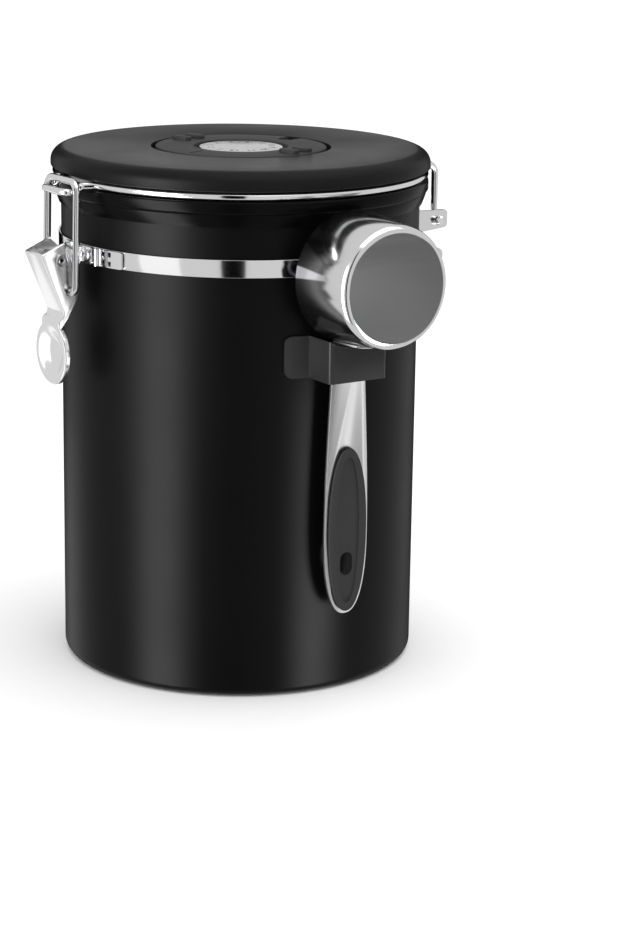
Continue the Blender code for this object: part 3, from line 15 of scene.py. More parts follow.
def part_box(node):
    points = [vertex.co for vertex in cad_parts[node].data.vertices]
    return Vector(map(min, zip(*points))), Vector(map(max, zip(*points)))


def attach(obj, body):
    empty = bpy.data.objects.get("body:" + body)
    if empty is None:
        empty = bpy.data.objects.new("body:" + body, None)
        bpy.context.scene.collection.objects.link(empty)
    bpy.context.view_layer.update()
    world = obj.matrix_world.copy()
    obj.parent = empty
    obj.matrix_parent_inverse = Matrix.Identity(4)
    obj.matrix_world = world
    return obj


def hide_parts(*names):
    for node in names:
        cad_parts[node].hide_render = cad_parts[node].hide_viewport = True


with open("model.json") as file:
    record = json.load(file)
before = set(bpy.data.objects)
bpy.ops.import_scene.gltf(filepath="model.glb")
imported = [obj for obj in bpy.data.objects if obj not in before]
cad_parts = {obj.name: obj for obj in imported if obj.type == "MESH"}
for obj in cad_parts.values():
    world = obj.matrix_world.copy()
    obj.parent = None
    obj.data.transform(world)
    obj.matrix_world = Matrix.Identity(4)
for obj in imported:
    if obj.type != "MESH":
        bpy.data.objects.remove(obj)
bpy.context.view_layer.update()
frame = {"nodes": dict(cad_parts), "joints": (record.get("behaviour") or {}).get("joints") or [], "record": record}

bl_info = {
    "name": "Coffee canister",
    "version": (1, 0, 0),
    "blender": (4, 5, 0),
    "location": "3D View > Sidebar > Canister",
    "description": "Builds the look of the coffee canister piece by piece",
    "category": "Add Mesh",
}

# Steps of round shapes
ROUND_STEPS = 160
PART_STEPS = 96
SMALL_STEPS = 40
ARC_STEPS = 8
BEND_STEPS = 10
EDGE_STEPS = 5
CORNER_STEPS = 3

# Angles and directions
SMOOTH_ANGLE = radians(34)
BLUNT_ANGLE = radians(50)
WIDE_ANGLE = radians(60)
HALF_PI = pi / 2
FULL_TURN = 2 * pi
ORIGIN = Vector((0, 0, 0))
X = Vector((1, 0, 0))
Y = Vector((0, 1, 0))
Z = Vector((0, 0, 1))

# Sizes that all pieces share
GAP = 0.0003
LIP = 0.0003
FINE_EDGE = 0.00015
HANDLE_EDGE = 0.00018
RIVET_INSET = 0.00003
MERGE_DISTANCE = 0.000001

# What the moving model gives
MEMBERS = frame["record"]["behaviour"]["bodies"]
BODIES = {node: body for body, members in MEMBERS.items() for node in members}
AXES = {joint["name"]: Vector(joint["pos_m"]) for joint in frame["joints"] if "pos_m" in joint}
PIVOT = AXES["lever_swing"]
BAIL_HOLE = AXES["bail_swing"]
HINGE = AXES["lid_hinge"]

# Lamps and cards
WHITE = (1, 1, 1, 1)
STRIP_SIZE = (0.23, 0.8)
BOX_REACH = 0.42


def low(node):
    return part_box(node)[0]


def high(node):
    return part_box(node)[1]


def length(default, description):
    """A length of the model, in metres."""
    return FloatProperty(description=description, default=default, unit="LENGTH", precision=5)


def spot(default, description):
    """Two lengths that belong together, in metres."""
    return FloatVectorProperty(description=description, default=default, size=2, unit="LENGTH", precision=5)


def lean(degrees, description):
    return FloatProperty(description=description, default=radians(degrees), subtype="ANGLE")


def share(default, description):
    return FloatProperty(description=description, default=default)


def colour(default, description):
    return FloatVectorProperty(description=description, default=default, subtype="COLOR", size=3)


def titled(group):
    """Give each property of a group the name of its attribute."""
    for key, made in group.__annotations__.items():
        made.keywords["name"] = key.replace("_", " ").capitalize()
    return group


@titled
class JarSizes(bpy.types.PropertyGroup):
    """Sizes of the jar and its collar."""
    radius: length(high("canister_body").x, "Outside radius of the jar")
    height: length(high("canister_body").z, "Height of the jar's wall")
    wall: length(0.0008, "Thickness of the wall")
    floor: length(0.0010, "Thickness of the floor")
    base_fillet: length(0.0032, "Radius between wall and base")
    collar_radius: length(high("collar_ring").x, "Outside radius of the collar")
    collar_top: length(high("collar_ring").z, "Height of the land that the lid seals on")
    collar_low: length(low("collar_ring").z, "Height of the skirt's lower edge")
    land_width: length(0.0037, "Width of the land inside the jar's radius")
    edge: length(0.0010, "Rounding of the collar's upper edges")
    step: length(0.0008, "Depth of the step under the rim")
    step_drop: length(0.0042, "Height of the rim above the step")
    taper_drop: length(0.0053, "Where the skirt starts to taper")
    toe: length(0.0005, "Thickness of the skirt's lower edge")


@titled
class StrapSizes(bpy.types.PropertyGroup):
    """Sizes of the neck band, its buckle and the rivets."""
    inner: length(0.0615, "Inner radius of the strap")
    thickness: length(0.0006, "Thickness of the strap")
    height: length(0.0058, "Height of the strap")
    buckle_start: length(0.01154, "Way along the strap from the latch to the buckle")
    buckle_length: length(0.01122, "Length of the buckle plate")
    buckle_sheet: length(0.0007, "Thickness of the buckle plate")
    buckle_margin: length(0.0001, "How far the buckle stays inside the strap's height")
    fold_radius: length(0.0009, "Radius of the rolled fold")
    slot_width: length(0.0016, "Width of a slot")
    slot_pitch: length(0.0030, "Distance between two slots")
    slot_inset: length(0.00436, "Way from the fold to the slots")
    rivet_radius: length(0.0013, "Radius of a rivet's head")
    rivet_height: length(0.0006, "Height of a rivet's head")
    rivet_shank: length(0.0008, "Radius of a rivet's shank")


@titled
class LatchSizes(bpy.types.PropertyGroup):
    """Sizes of the latch. Corners of the lever are measured from the pin, inwards and up."""
    plate_half: length(0.0092, "Half the width of the base plate")
    plate_corner: length(0.0010, "Corner radius of the base plate")
    plate_edge: length(0.0001, "Rounding of the base's edges")
    ear_end: length(0.0024, "Radius of an ear's end")
    ear_root: length(0.0050, "Height of an ear at the plate")
    rivet_offset: length(0.0071, "Way from the middle to a rivet")
    half_width: length(0.0062, "Half the width of the lever")
    sheet: length(0.0010, "Thickness of lever, base plate and ears")
    bore: length(0.0012, "Radius of the pin")
    pin_hollow: length(0.0007, "Radius of the hole in the pin")
    flange_radius: length(0.0021, "Radius of the pin's rolled ends")
    flange: length(0.0004, "Thickness of the pin's rolled ends")
    web_top: spot((-0.0071, 0.0020), "Top of the web")
    fold: spot((0.0015, -0.0186), "Lower fold of the web")
    spoon_top: spot((-0.0010, -0.0206), "Where the neck reaches the spoon's rim")
    toe: spot((-0.0010, -0.0231), "Lower end of the neck")
    neck: spot((0.0032, -0.0192), "Lower end of the walls")
    heel: spot((0.0072, -0.0122), "Where the belly ends")
    belly: spot((0.0072, -0.0047), "Where the belly starts")
    shoulder: spot((0.0045, 0.0033), "Inner shoulder of the walls")
    peak: spot((0.0017, 0.0058), "Highest point of the walls")
    bend: length(0.0020, "Radius of the bends between web and spoon")
    spoon_radius: length(0.0107, "Radius of the thumb spoon")
    spoon_drop: length(0.0317, "Way from the pin down to the spoon's middle")
    dish_depth: length(0.0021, "Depth of the dish")
    flat_radius: length(0.0037, "Radius of the flat middle")
    rim_width: length(0.0013, "Width of the raised rim")
    flange_depth: length(0.0016, "Depth of the rim that is turned back")
    edge: length(0.00035, "Rounding of the lever's outline")
    sheet_edge: length(0.00012, "Rounding of the lever's cut edges")
    wire: length(0.00125, "Radius of the bail's wire")
    bail_half: length(0.0102, "Half the width of the bail")
    top_bend: length(0.0036, "Radius of the bail's upper bends")
    end_bend: length(0.0030, "Radius of the bail's lower bends")
    end_inset: length(0.0008, "How far the ends reach through the walls")


@titled
class HingeSizes(bpy.types.PropertyGroup):
    """Sizes of the hinge bracket."""
    half: length(0.0212, "Half the width of the plate")
    sheet: length(0.0010, "Thickness of the plate")
    rise: length(0.0081, "Upper edge above the strap's middle")
    drop: length(0.0108, "Lower edge below the strap's middle")
    corner: length(0.0020, "Corner radius of plate and lower tab")
    ear_inner: length(0.0195, "Distance of an ear's inner face from the middle")
    ear_sheet: length(0.0012, "Thickness of an ear")
    ear_reach: length(0.0040, "How far an ear reaches past its hole")
    ear_rise: length(0.0036, "How far an ear reaches above its hole")
    ear_drop: length(0.0025, "How far an ear reaches below its hole")
    ear_corner: length(0.0014, "Corner radius of an ear")
    tab_reach: length(0.0085, "How far the lower tab stands out")
    tab_height: length(0.0044, "Height of the lower tab")
    bore: length(0.0015, "Radius of the hole for the wire")
    rivet_offset: length(0.0080, "Way from the middle to a rivet")
    edge: length(0.0002, "Rounding of the bracket's edges")


@titled
class WireSizes(bpy.types.PropertyGroup):
    """Sizes of the bent wire under the lid."""
    radius: length(0.0012, "Radius of the wire")
    ring_radius: length(0.0628, "Radius of the ring, to the wire's middle")
    nose_half: length(0.0072, "Half the width of the nose")
    root_half: length(0.0110, "Half the width where the nose starts")
    nose_dip: length(0.0024, "How far the nose lies below the ring")
    nose_lift: length(0.0003, "How far the nose's tip is bent up")
    nose_hook: length(0.0034, "How far the nose reaches past the bail")
    corner: length(0.0024, "Radius of the nose's corners")
    bend: length(0.0020, "Radius of the nose's bends")
    crossbar: length(0.0684, "Distance of the bail's crossbar from the middle")
    half_spread: length(0.0180, "Half the distance of the hinge legs")
    top_bend: length(0.0040, "Radius of the legs' upper bends")
    end_bend: length(0.0022, "Radius of the legs' lower bends")
    stub: length(0.0223, "How far the ends reach out")


@titled
class LidSizes(bpy.types.PropertyGroup):
    """Sizes of the lid: cover, inner plate and gasket."""
    radius: length(high("lid_cover").x, "Outside radius of the cover")
    top: length(high("lid_cover").z, "Height of the cover's top")
    bottom: length(low("lid_cover").z, "Height of the cover's lower edge")
    sheet: length(0.0008, "Thickness of the cover")
    shoulder: spot((0.0050, 0.0046), "Width and height of the rounded shoulder")
    hem: length(0.0009, "Width of the turned-in hem")
    bore: length(0.0023, "Radius of the hole for the axle")
    well_radius: length(0.0306, "Radius of the dial's well")
    well_floor: length(0.1738, "Height of the well's floor")
    plug_radius: length(high("lid_inner").x - 0.0112, "Radius of the plug")
    plug_bottom: length(low("lid_inner").z, "Height of the plug's lower face")
    plug_sheet: length(0.0018, "Thickness of the plug plate")
    rib_radius: length(0.0592, "Radius of the rib under the cover")
    flange: length(0.0011, "Thickness of the flange")
    seat: length(0.0613, "Radius of the gasket's seat")
    vent_bore: length(0.0073, "Radius of the hole for the vent")
    edge: length(0.0004, "Rounding of the plug's edges")
    gasket_lip: length(0.0005, "Height of the gasket's lip")


@titled
class DialSizes(bpy.types.PropertyGroup):
    """Sizes of the date dial."""
    angle: lean(18, "Where the window stands")
    ring_radius: length(0.0291, "Outside radius of the turning ring")
    ring_bore: length(0.0160, "Radius of the ring's hole")
    ring_top: length(0.1768, "Height of the ring's face")
    ring_bottom: length(low("day_ring").z, "Height of the ring's underside")
    edge: length(0.0004, "Rounding of ring and disc")
    window_half: length(0.0030, "Half the width of the window")
    window_inner: length(0.0212, "Where the window starts")
    grip_orbit: length(0.0240, "Distance of the grips from the middle")
    grip_spacing: length(0.0068, "Distance between the two grips of a pair")
    grip_length: length(0.0078, "Length of a grip")
    grip_width: length(0.0034, "Width of a grip")
    grip_height: length(0.0013, "Height of a grip")
    mark: spot((0.0199, 0.0264), "Where the line mark starts and ends")
    mark_width: length(0.0009, "Width of the line mark")
    mark_depth: length(0.0003, "Depth of the line mark")
    disc_radius: length(0.0143, "Radius of the month disc")
    disc_top: length(0.1765, "Height of the month disc's face")
    disc_sheet: length(0.0014, "Thickness of the month disc")
    hub_radius: length(0.0060, "Radius of the hub under the disc")
    month_orbit: length(0.0107, "Distance of the month numbers from the middle")
    month_size: length(0.0036, "Size of the month numbers")
    month_turn: lean(197, "Where the first month stands")
    day_orbit: length(0.0252, "Distance of the day numbers from the middle")
    day_size: length(0.0038, "Size of the day numbers")
    ink: length(0.00002, "Height of the printed numbers")
    days: IntProperty(description="Numbers on the day plate", default=31)
    months: IntProperty(description="Numbers on the month disc", default=12)
    shown_day: IntProperty(description="The day in the window", default=31)


@titled
class VentSizes(bpy.types.PropertyGroup):
    """Sizes of the one-way vent."""
    tube_radius: length(0.0070, "Radius of the tube")
    flange_radius: length(0.0090, "Radius of flange and cap")
    flange: length(0.0012, "Thickness of flange and cap")
    bore: length(0.0056, "Radius of the tube's bore")
    seat: length(0.0008, "Thickness of the seat")
    hole: length(0.0008, "Radius of a gas hole")
    hole_orbit: length(0.0032, "Distance of the gas holes from the middle")
    holes: IntProperty(description="Number of gas holes", default=6)
    stem: length(0.0008, "Radius of the flap's stem")
    flap_radius: length(0.0048, "Radius of the flap")
    flap_sheet: length(0.0006, "Thickness of the flap")
    ring_wall: length(0.0009, "Thickness of the cap's ring")
    slot: spot((0.0062, 0.0010), "Length and width of a slot")
    slot_pitch: length(0.0022, "Distance between two slots")


@titled
class ScoopSizes(bpy.types.PropertyGroup):
    """Sizes of the scoop and its holder."""
    gap: length(0.0003, "Gap between grip and handle, and between foot and wall")
    half: length(0.0110, "Half the width of the holder")
    front: length(-low("scoop_holder").y, "Distance of the holder's front from the middle")
    sheet: length(0.0008, "Thickness of the holder's strip and of the bowl")
    corner: length(0.0014, "Bend radius of the strip")
    foot: length(0.0084, "Width of a foot on the wall")
    foot_corner: length(0.0026, "Corner radius of a foot")
    mouth: length(0.0215, "Radius of the bowl's mouth")
    base: length(0.0200, "Radius of the bowl's base")
    depth: length(0.0259, "Depth of the bowl")
    base_fillet: length(0.0026, "Rounding of the bowl's base")
    centre: length(0.1430, "Height of the bowl's axis")
    cradle: length(0.0227, "Radius of the cradle in the holder")
    back: length(0.0669, "Distance of the handle's back from the middle")
    handle_sheet: length(0.0012, "Thickness of the handle")
    seat: length(0.0218, "Inner radius of the saddle")
    tab_length: length(0.0125, "How far the saddle reaches under the bowl")
    tab_sheet: length(0.0006, "Thickness of the saddle")
    top_half: length(0.0058, "Half the handle's width at its top")
    wide_half: length(0.0083, "Half the handle's greatest width")
    wide_height: length(0.0570, "Height of the greatest width")
    tip_height: length(0.0290, "Height of the handle's tip")
    tip_power: share(2.4, "How square the tip is")
    grip_top: length(0.0857, "Height of the grip's upper end")
    grip_margin: length(0.0009, "Metal left round the grip")
    grip_flange: length(0.0008, "How far the grip laps the handle")
    grip_rise: length(0.0010, "How far the grip stands up in front")
    grip_back: length(0.0007, "How far the grip stands up behind")
    grip_edge: length(0.0006, "Rounding of the grip's edges")
    grip_power: share(2.2, "How square the grip's outline is")
    dish: length(0.0008, "Depth of the grip's dished face")
    dish_margin: length(0.0030, "Width of the rim round the dished face")
    hole_height: length(0.0462, "Height of the hanging hole")
    hole_half: length(0.0024, "Half the width of the hanging hole")
    hole_length: length(0.0080, "Length of the hanging hole")


@titled
class Finishes(bpy.types.PropertyGroup):
    """Colours of the materials."""
    paint: colour((0.0020, 0.0020, 0.0022), "Matt charcoal paint of the jar")
    lid_paint: colour((0.0075, 0.0075, 0.0077), "Satin paint of the lid")
    holder: colour((0.024, 0.024, 0.0242), "Paint of the holder")
    steel: colour((0.72, 0.72, 0.73), "Polished steel")
    lever_steel: colour((0.84, 0.84, 0.84), "Pressed steel of the lever")
    satin_steel: colour((0.62, 0.62, 0.62), "Brushed steel")
    plastic: colour((0.012, 0.012, 0.013), "Black plastic")
    rubber: colour((0.011, 0.011, 0.012), "Black rubber")
    silicone: colour((0.62, 0.62, 0.60), "Pale silicone")
    white: colour((0.80, 0.80, 0.79), "White plate under the ring")
    ink: colour((0.010, 0.010, 0.011), "Printed numbers")


@titled
class StageSettings(bpy.types.PropertyGroup):
    """Light, floor and camera."""
    camera_turn: lean(-31.5, "Where the camera stands")
    camera_reach: length(0.86097, "Level distance of the camera from the middle")
    camera_height: length(0.29141, "Height of the camera")
    camera_pitch: lean(14.77, "How far the camera looks down")
    camera_yaw: lean(-1.68, "How far the camera looks aside")
    camera_roll: lean(0.86, "How far the camera is tipped")
    camera_lens: share(97.92, "Focal length in millimetres")
    floor_size: length(12.0, "Length of the floor's sides")
    floor_drop: length(0.0001, "How far the floor lies below the base")
    floor_colour: colour((0.94, 0.94, 0.94), "Colour of the floor")
    ambient: share(1.1, "Light from all round")
    mirrored: share(0.75, "Brightness of the room in reflections")
    top_light: share(1.2, "Brightness of the box above")
    left_strip: share(13.5, "Brightness of the strip on the left")
    right_strip: share(16.0, "Brightness of the strip on the right")
    handle_light: share(0.7, "Brightness of the box that the handle mirrors")
    wall_light: share(1.3, "Brightness of the box that the lever's side mirrors")
    lever_light: share(1.1, "Brightness of the box that the lever mirrors")
    band_light: share(1.15, "Brightness of the box that the band mirrors")
    grey_card: share(0.15, "Brightness of the card that the scoop's base mirrors")
    web_card: share(1.08, "Brightness of the card that the lever's web mirrors")
    spoon_card: share(0.74, "Brightness of the card that the spoon mirrors")


def deselect():
    bpy.ops.object.select_all(action="DESELECT")


def only(piece):
    """Make one object the selected and active one."""
    if bpy.context.mode != "OBJECT":
        bpy.ops.object.mode_set(mode="OBJECT")
    deselect()
    piece.select_set(True)
    bpy.context.view_layer.objects.active = piece


def arc(centre, radius, start, end, steps=ARC_STEPS, rise=None):
    """Points of an arc in a plane, both ends included. With a rise it is part of an ellipse."""
    rise = radius if rise is None else rise
    points = []
    for index in range(steps + 1):
        angle = start + (end - start) * index / steps
        points.append((centre[0] + radius * cos(angle), centre[1] + rise * sin(angle)))
    return points


def rounded(corners, steps=ARC_STEPS, closed=True):
    """Corners are (point, radius). Each corner becomes an arc of its radius."""
    places = [Vector(point).to_3d() for point, _ in corners]
    count = len(corners)
    points = []
    for index, (_, radius) in enumerate(corners):
        here = places[index]
        inner = closed or 0 < index < count - 1
        if radius == 0 or not inner:
            points.append(here)
            continue
        back = (places[index - 1] - here).normalized()
        ahead = (places[(index + 1) % count] - here).normalized()
        half = back.angle(ahead) / 2
        reach = radius / tan(half)
        centre = here + (back + ahead).normalized() * (radius / sin(half))
        first = here + back * reach - centre
        last = here + ahead * reach - centre
        sweep = first.angle(last)
        for step in range(steps + 1):
            part = step / steps
            mixed = first * sin((1 - part) * sweep) + last * sin(part * sweep)
            points.append(centre + mixed / sin(sweep))
    return points


def oblong(start, end, bottom, top, first, last=None, steps=ARC_STEPS):
    """A rectangle: one radius rounds its two corners at the start, another those at the end."""
    last = first if last is None else last
    corners = [((start, bottom), first), ((end, bottom), last), ((end, top), last), ((start, top), first)]
    return rounded(corners, steps)


def drawn(points):
    """A plane merged to one vertex at the first point, then extruded from point to point."""
    deselect()
    places = [Vector(point).to_3d() for point in points]
    bpy.ops.mesh.primitive_plane_add(size=0.001, location=places[0])
    made = bpy.context.object
    bpy.ops.object.mode_set(mode="EDIT")
    bpy.ops.mesh.select_mode(type="VERT")
    bpy.ops.mesh.merge(type="CENTER")
    for here, ahead in zip(places, places[1:]):
        bpy.ops.mesh.extrude_region_move(TRANSFORM_OT_translate={"value": ahead - here})
    bpy.ops.mesh.select_all(action="SELECT")
    return made


def closed_up():
    """Merge what lies on one place and turn all faces outwards."""
    bpy.ops.mesh.select_all(action="SELECT")
    bpy.ops.mesh.remove_doubles(threshold=MERGE_DISTANCE)
    bpy.ops.mesh.normals_make_consistent(inside=False)
    bpy.ops.object.mode_set(mode="OBJECT")
    bpy.ops.object.transform_apply(location=True, rotation=True, scale=True)


def turned(outline, steps=ROUND_STEPS, axis=Z, side=X, centre=ORIGIN):
    """Draw an outline of (radius, height) points beside an axis and spin it once round."""
    points = [centre + side * point[0] + axis * point[1] for point in outline]
    if outline[0][0] > 0:
        points.append(points[0])
    made = drawn(points)
    bpy.ops.mesh.spin(steps=steps, angle=FULL_TURN, center=centre, axis=axis)
    closed_up()
    return made


def sheet(outline, by):
    """Fill a flat outline and extrude it."""
    made = drawn(outline)
    bpy.ops.mesh.edge_face_add()
    bpy.ops.mesh.extrude_region_move(TRANSFORM_OT_translate={"value": by})
    closed_up()
    return made


def upright(outline, back, thickness):
    """A plate that stands up: outline points are (x, z), its thickness runs towards -Y."""
    return sheet([(point[0], back, point[1]) for point in outline], -thickness * Y)


def level(outline, bottom, thickness):
    """A plate that lies flat: outline points are (x, y)."""
    return sheet([(point[0], point[1], bottom) for point in outline], thickness * Z)


def applied(piece, kind, **settings):
    """Add a modifier, set it and apply it."""
    step = piece.modifiers.new(kind, kind)
    for name, value in settings.items():
        setattr(step, name, value)
    only(piece)
    bpy.ops.object.modifier_apply(modifier=step.name)
    return piece


def combined(piece, tool, operation):
    applied(piece, "BOOLEAN", object=tool, operation=operation, solver="EXACT")
    bpy.data.objects.remove(tool)
    return piece


def cut(piece, tool):
    return combined(piece, tool, "DIFFERENCE")


def fuse(piece, tool):
    return combined(piece, tool, "UNION")


def softened(piece, width, segments=2, angle=SMOOTH_ANGLE):
    """Round the edges that are sharper than an angle."""
    return applied(piece, "BEVEL", width=width, segments=segments, limit_method="ANGLE", angle_limit=angle,
                   use_clamp_overlap=True)


def pin(radius, span, axis, centre, steps=SMALL_STEPS):
    """A plain pin or a drill, centred on its place."""
    outline = [(0, -span / 2), (radius, -span / 2), (radius, span / 2), (0, span / 2)]
    return turned(outline, steps, axis, Y if axis == X else X, Vector(centre))


def spread(angle):
    """Directions away from the middle and sideways, at an angle round the canister."""
    return Vector((cos(angle), sin(angle), 0)), Vector((-sin(angle), cos(angle), 0))


def wrapped(outline, inner, thickness, angle):
    """A bent plate: a flat outline of (arc length, height) points punched out of a ring round the jar."""
    out, across = spread(angle)
    flat = [out * (inner / 2) + across * (inner * sin(x / inner)) + z * Z for x, z, _ in outline]
    heights = [point.z for point in flat]
    span = max(heights) - min(heights)
    made = turned(oblong(inner, inner + thickness, min(heights) - span, max(heights) + span, 0))
    return combined(made, sheet(flat, out * (inner + thickness)), "INTERSECT")


def to_mesh():
    """Make the active curve or text a clean mesh."""
    bpy.ops.object.convert(target="MESH")
    made = bpy.context.object
    bpy.ops.object.mode_set(mode="EDIT")
    closed_up()
    return made


def wire(points, radius):
    """A chain of points made a curve with a round section, then a mesh."""
    drawn(points)
    bpy.ops.object.mode_set(mode="OBJECT")
    bpy.ops.object.convert(target="CURVE")
    made = bpy.context.object.data
    made.bevel_depth = radius
    made.bevel_resolution = 5
    made.use_fill_caps = True
    return to_mesh()


def lettering(text, size, place, turn, thickness):
    """A number, centred on its place, as a thin mesh."""
    deselect()
    bpy.ops.object.text_add(location=place, rotation=(0, 0, turn))
    made = bpy.context.object.data
    made.body = text
    made.size = size
    made.align_x = "CENTER"
    made.align_y = "CENTER"
    made.extrude = thickness / 2
    made.resolution_u = 3
    return to_mesh()


def done(piece, part, material, replaced=True):
    """Shade, name and paint a finished piece and let it ride on the body of its node."""
    only(piece)
    bpy.ops.object.transform_apply(location=True, rotation=True, scale=True)
    bpy.ops.object.shade_smooth_by_angle(angle=SMOOTH_ANGLE)
    piece.data.materials.clear()
    piece.data.materials.append(bpy.data.materials[material])
    if replaced:
        piece.name = part + ".look"
        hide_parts(part)
    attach(piece, BODIES[part])
    return piece


def repainted(piece, material, chosen):
    """Give the faces that a test picks a second material."""
    piece.data.materials.append(bpy.data.materials[material])
    for face in piece.data.polygons:
        if chosen(face):
            face.material_index = 1


def feed(tree, target, inputs):
    """Set the inputs of a shading node: each is a value or an output to link."""
    for name, value in inputs.items():
        if isinstance(value, bpy.types.NodeSocket):
            tree.links.new(value, target.inputs[name])
        else:
            target.inputs[name].default_value = value
    return target


def node(tree, kind, inputs, **settings):
    """Add a shading node, set it and feed it."""
    made = tree.nodes.new(kind)
    for name, value in settings.items():
        setattr(made, name, value)
    return feed(tree, made, inputs)


def group_tree(name, inputs, outputs):
    """A node group: inputs with a default are numbers. Returns its tree, what it is given and its end."""
    tree = bpy.data.node_groups.new(name, "ShaderNodeTree")
    for label, value in inputs.items():
        kind = "NodeSocketVector" if value is None else "NodeSocketFloat"
        made = tree.interface.new_socket(label, in_out="INPUT", socket_type=kind)
        if value is not None:
            made.default_value = value
    for label in outputs:
        kind = "NodeSocketVector" if label in ("Vector", "Normal") else "NodeSocketFloat"
        tree.interface.new_socket(label, in_out="OUTPUT", socket_type=kind)
    return tree, tree.nodes.new("NodeGroupInput").outputs, tree.nodes.new("NodeGroupOutput")


def placed_group(tree, group, **inputs):
    return node(tree, "ShaderNodeGroup", inputs, node_tree=bpy.data.node_groups[group]).outputs


def noise(tree, vector, scale, detail):
    inputs = {"Vector": vector, "Scale": scale, "Detail": detail}
    return node(tree, "ShaderNodeTexNoise", inputs).outputs["Fac"]


def mapped(tree, value, given, start, end):
    """A noise spread over the roughness that a group is given."""
    inputs = {"Value": value, "From Min": start, "From Max": end}
    inputs.update({"To Min": given["Low"], "To Max": given["High"]})
    return node(tree, "ShaderNodeMapRange", inputs).outputs["Result"]


def raised(tree, height, depth):
    """A height turned into a normal."""
    return node(tree, "ShaderNodeBump", {"Height": height, "Distance": depth}).outputs["Normal"]


def make_grain_group():
    """Fine even grain."""
    inputs = {"Vector": None, "Scale": 3000.0, "Depth": 0.00001}
    tree, given, end = group_tree("fine_grain", inputs, ("Normal",))
    grain = noise(tree, given["Vector"], given["Scale"], detail=3.0)
    feed(tree, end, {"Normal": raised(tree, grain, given["Depth"])})


def make_handling_group():
    """Soft uneven patches from handling, for roughness and a slight change of tone."""
    inputs = {"Vector": None, "Scale": 28.0, "Low": 0.3, "High": 0.4}
    tree, given, end = group_tree("handling", inputs, ("Roughness", "Mask"))
    broad = noise(tree, given["Vector"], given["Scale"], detail=4.0)
    rough = mapped(tree, broad, given, start=0.35, end=0.65)
    feed(tree, end, {"Roughness": rough, "Mask": broad})


def make_line_group():
    """Brushed lines: a noise drawn out along one direction, for roughness, tone and a normal."""
    inputs = {"Vector": None, "Low": 0.2, "High": 0.3, "Depth": 0.000005}
    tree, given, end = group_tree("brushed_lines", inputs, ("Roughness", "Mask", "Normal"))
    lines = noise(tree, given["Vector"], scale=1.0, detail=5.0)
    rough = mapped(tree, lines, given, start=0.3, end=0.7)
    feed(tree, end, {"Roughness": rough, "Mask": lines, "Normal": raised(tree, lines, given["Depth"])})


def make_circle_group():
    """Coordinates for lines that run round an axis: the distance from it, drawn out round it."""
    inputs = {"Vector": None, "Along": 9000.0, "Round": 2.0}
    tree, given, end = group_tree("round_coordinates", inputs, ("Vector",))

    def math(operation, first, second):
        return node(tree, "ShaderNodeMath", {0: first, 1: second}, operation=operation).outputs["Value"]

    def packed(x, y):
        return node(tree, "ShaderNodeCombineXYZ", {"X": x, "Y": y}).outputs["Vector"]

    split = node(tree, "ShaderNodeSeparateXYZ", {"Vector": given["Vector"]}).outputs
    flat = packed(split["X"], split["Y"])
    reach = node(tree, "ShaderNodeVectorMath", {0: flat}, operation="LENGTH").outputs["Value"]
    turn = math("ARCTAN2", split["Y"], split["X"])
    run = packed(math("MULTIPLY", reach, given["Along"]), math("MULTIPLY", turn, given["Round"]))
    feed(tree, end, {"Vector": run})


def new_material(name, metallic, specular, anisotropy=0.0):
    """A Principled material. Returns its tree, its shader and its object coordinates."""
    made = bpy.data.materials.new(name)
    made.use_nodes = True
    tree = made.node_tree
    shader = tree.nodes["Principled BSDF"]
    shader.inputs["Metallic"].default_value = metallic
    shader.inputs["Specular IOR Level"].default_value = specular
    shader.inputs["Anisotropic"].default_value = anisotropy
    return tree, shader, node(tree, "ShaderNodeTexCoord", {}).outputs["Object"]


def toned(tree, mask, base, lighter):
    """Base colour that changes a little with a mask."""
    inputs = {"A": (*base, 1), "B": (*(value * lighter for value in base), 1), "Factor": mask}
    return node(tree, "ShaderNodeMix", inputs, data_type="RGBA").outputs["Result"]


def grained(name, base, rough, metallic, specular, lighter, patches, grain, depth):
    """Material with fine grain and uneven gloss and tone. Its roughness runs between two values."""
    tree, shader, place = new_material(name, metallic, specular)
    handled = placed_group(tree, "handling", Vector=place, Scale=patches, Low=rough[0], High=rough[1])
    fine = placed_group(tree, "fine_grain", Vector=place, Scale=grain, Depth=depth)
    tone = toned(tree, handled["Mask"], base, lighter)
    feed(tree, shader, {"Base Color": tone, "Roughness": handled["Roughness"], "Normal": fine["Normal"]})


def coated(name, base, rough, specular, depth=0.000006):
    """Paint, plastic or rubber."""
    grained(name, base, rough, metallic=0.0, specular=specular, lighter=1.15, patches=28.0, grain=2400.0,
            depth=depth)


def metal(name, base, rough):
    """Plain or polished steel."""
    grained(name, base, rough, metallic=1.0, specular=0.5, lighter=1.06, patches=60.0, grain=900.0,
            depth=0.000002)


def brushed_metal(name, base, rough, stretch, centre=None, turn=ORIGIN, depth=0.000004, anisotropy=0.0):
    """Steel with brushed lines: straight ones along the weakest stretch, round ones about a centre."""
    tree, shader, place = new_material(name, metallic=1.0, specular=0.5, anisotropy=anisotropy)
    where = {"Scale": stretch} if centre is None else {"Location": centre}
    run = node(tree, "ShaderNodeMapping", {"Vector": place, "Rotation": turn, **where}).outputs["Vector"]
    if centre is not None:
        along, round_it = stretch
        run = placed_group(tree, "round_coordinates", Vector=run, Along=along, Round=round_it)["Vector"]
    lines = placed_group(tree, "brushed_lines", Vector=run, Low=rough[0], High=rough[1], Depth=depth)
    tone = toned(tree, lines["Mask"], base, lighter=1.08)
    feed(tree, shader, {"Base Color": tone, "Roughness": lines["Roughness"], "Normal": lines["Normal"]})
    return tree, shader


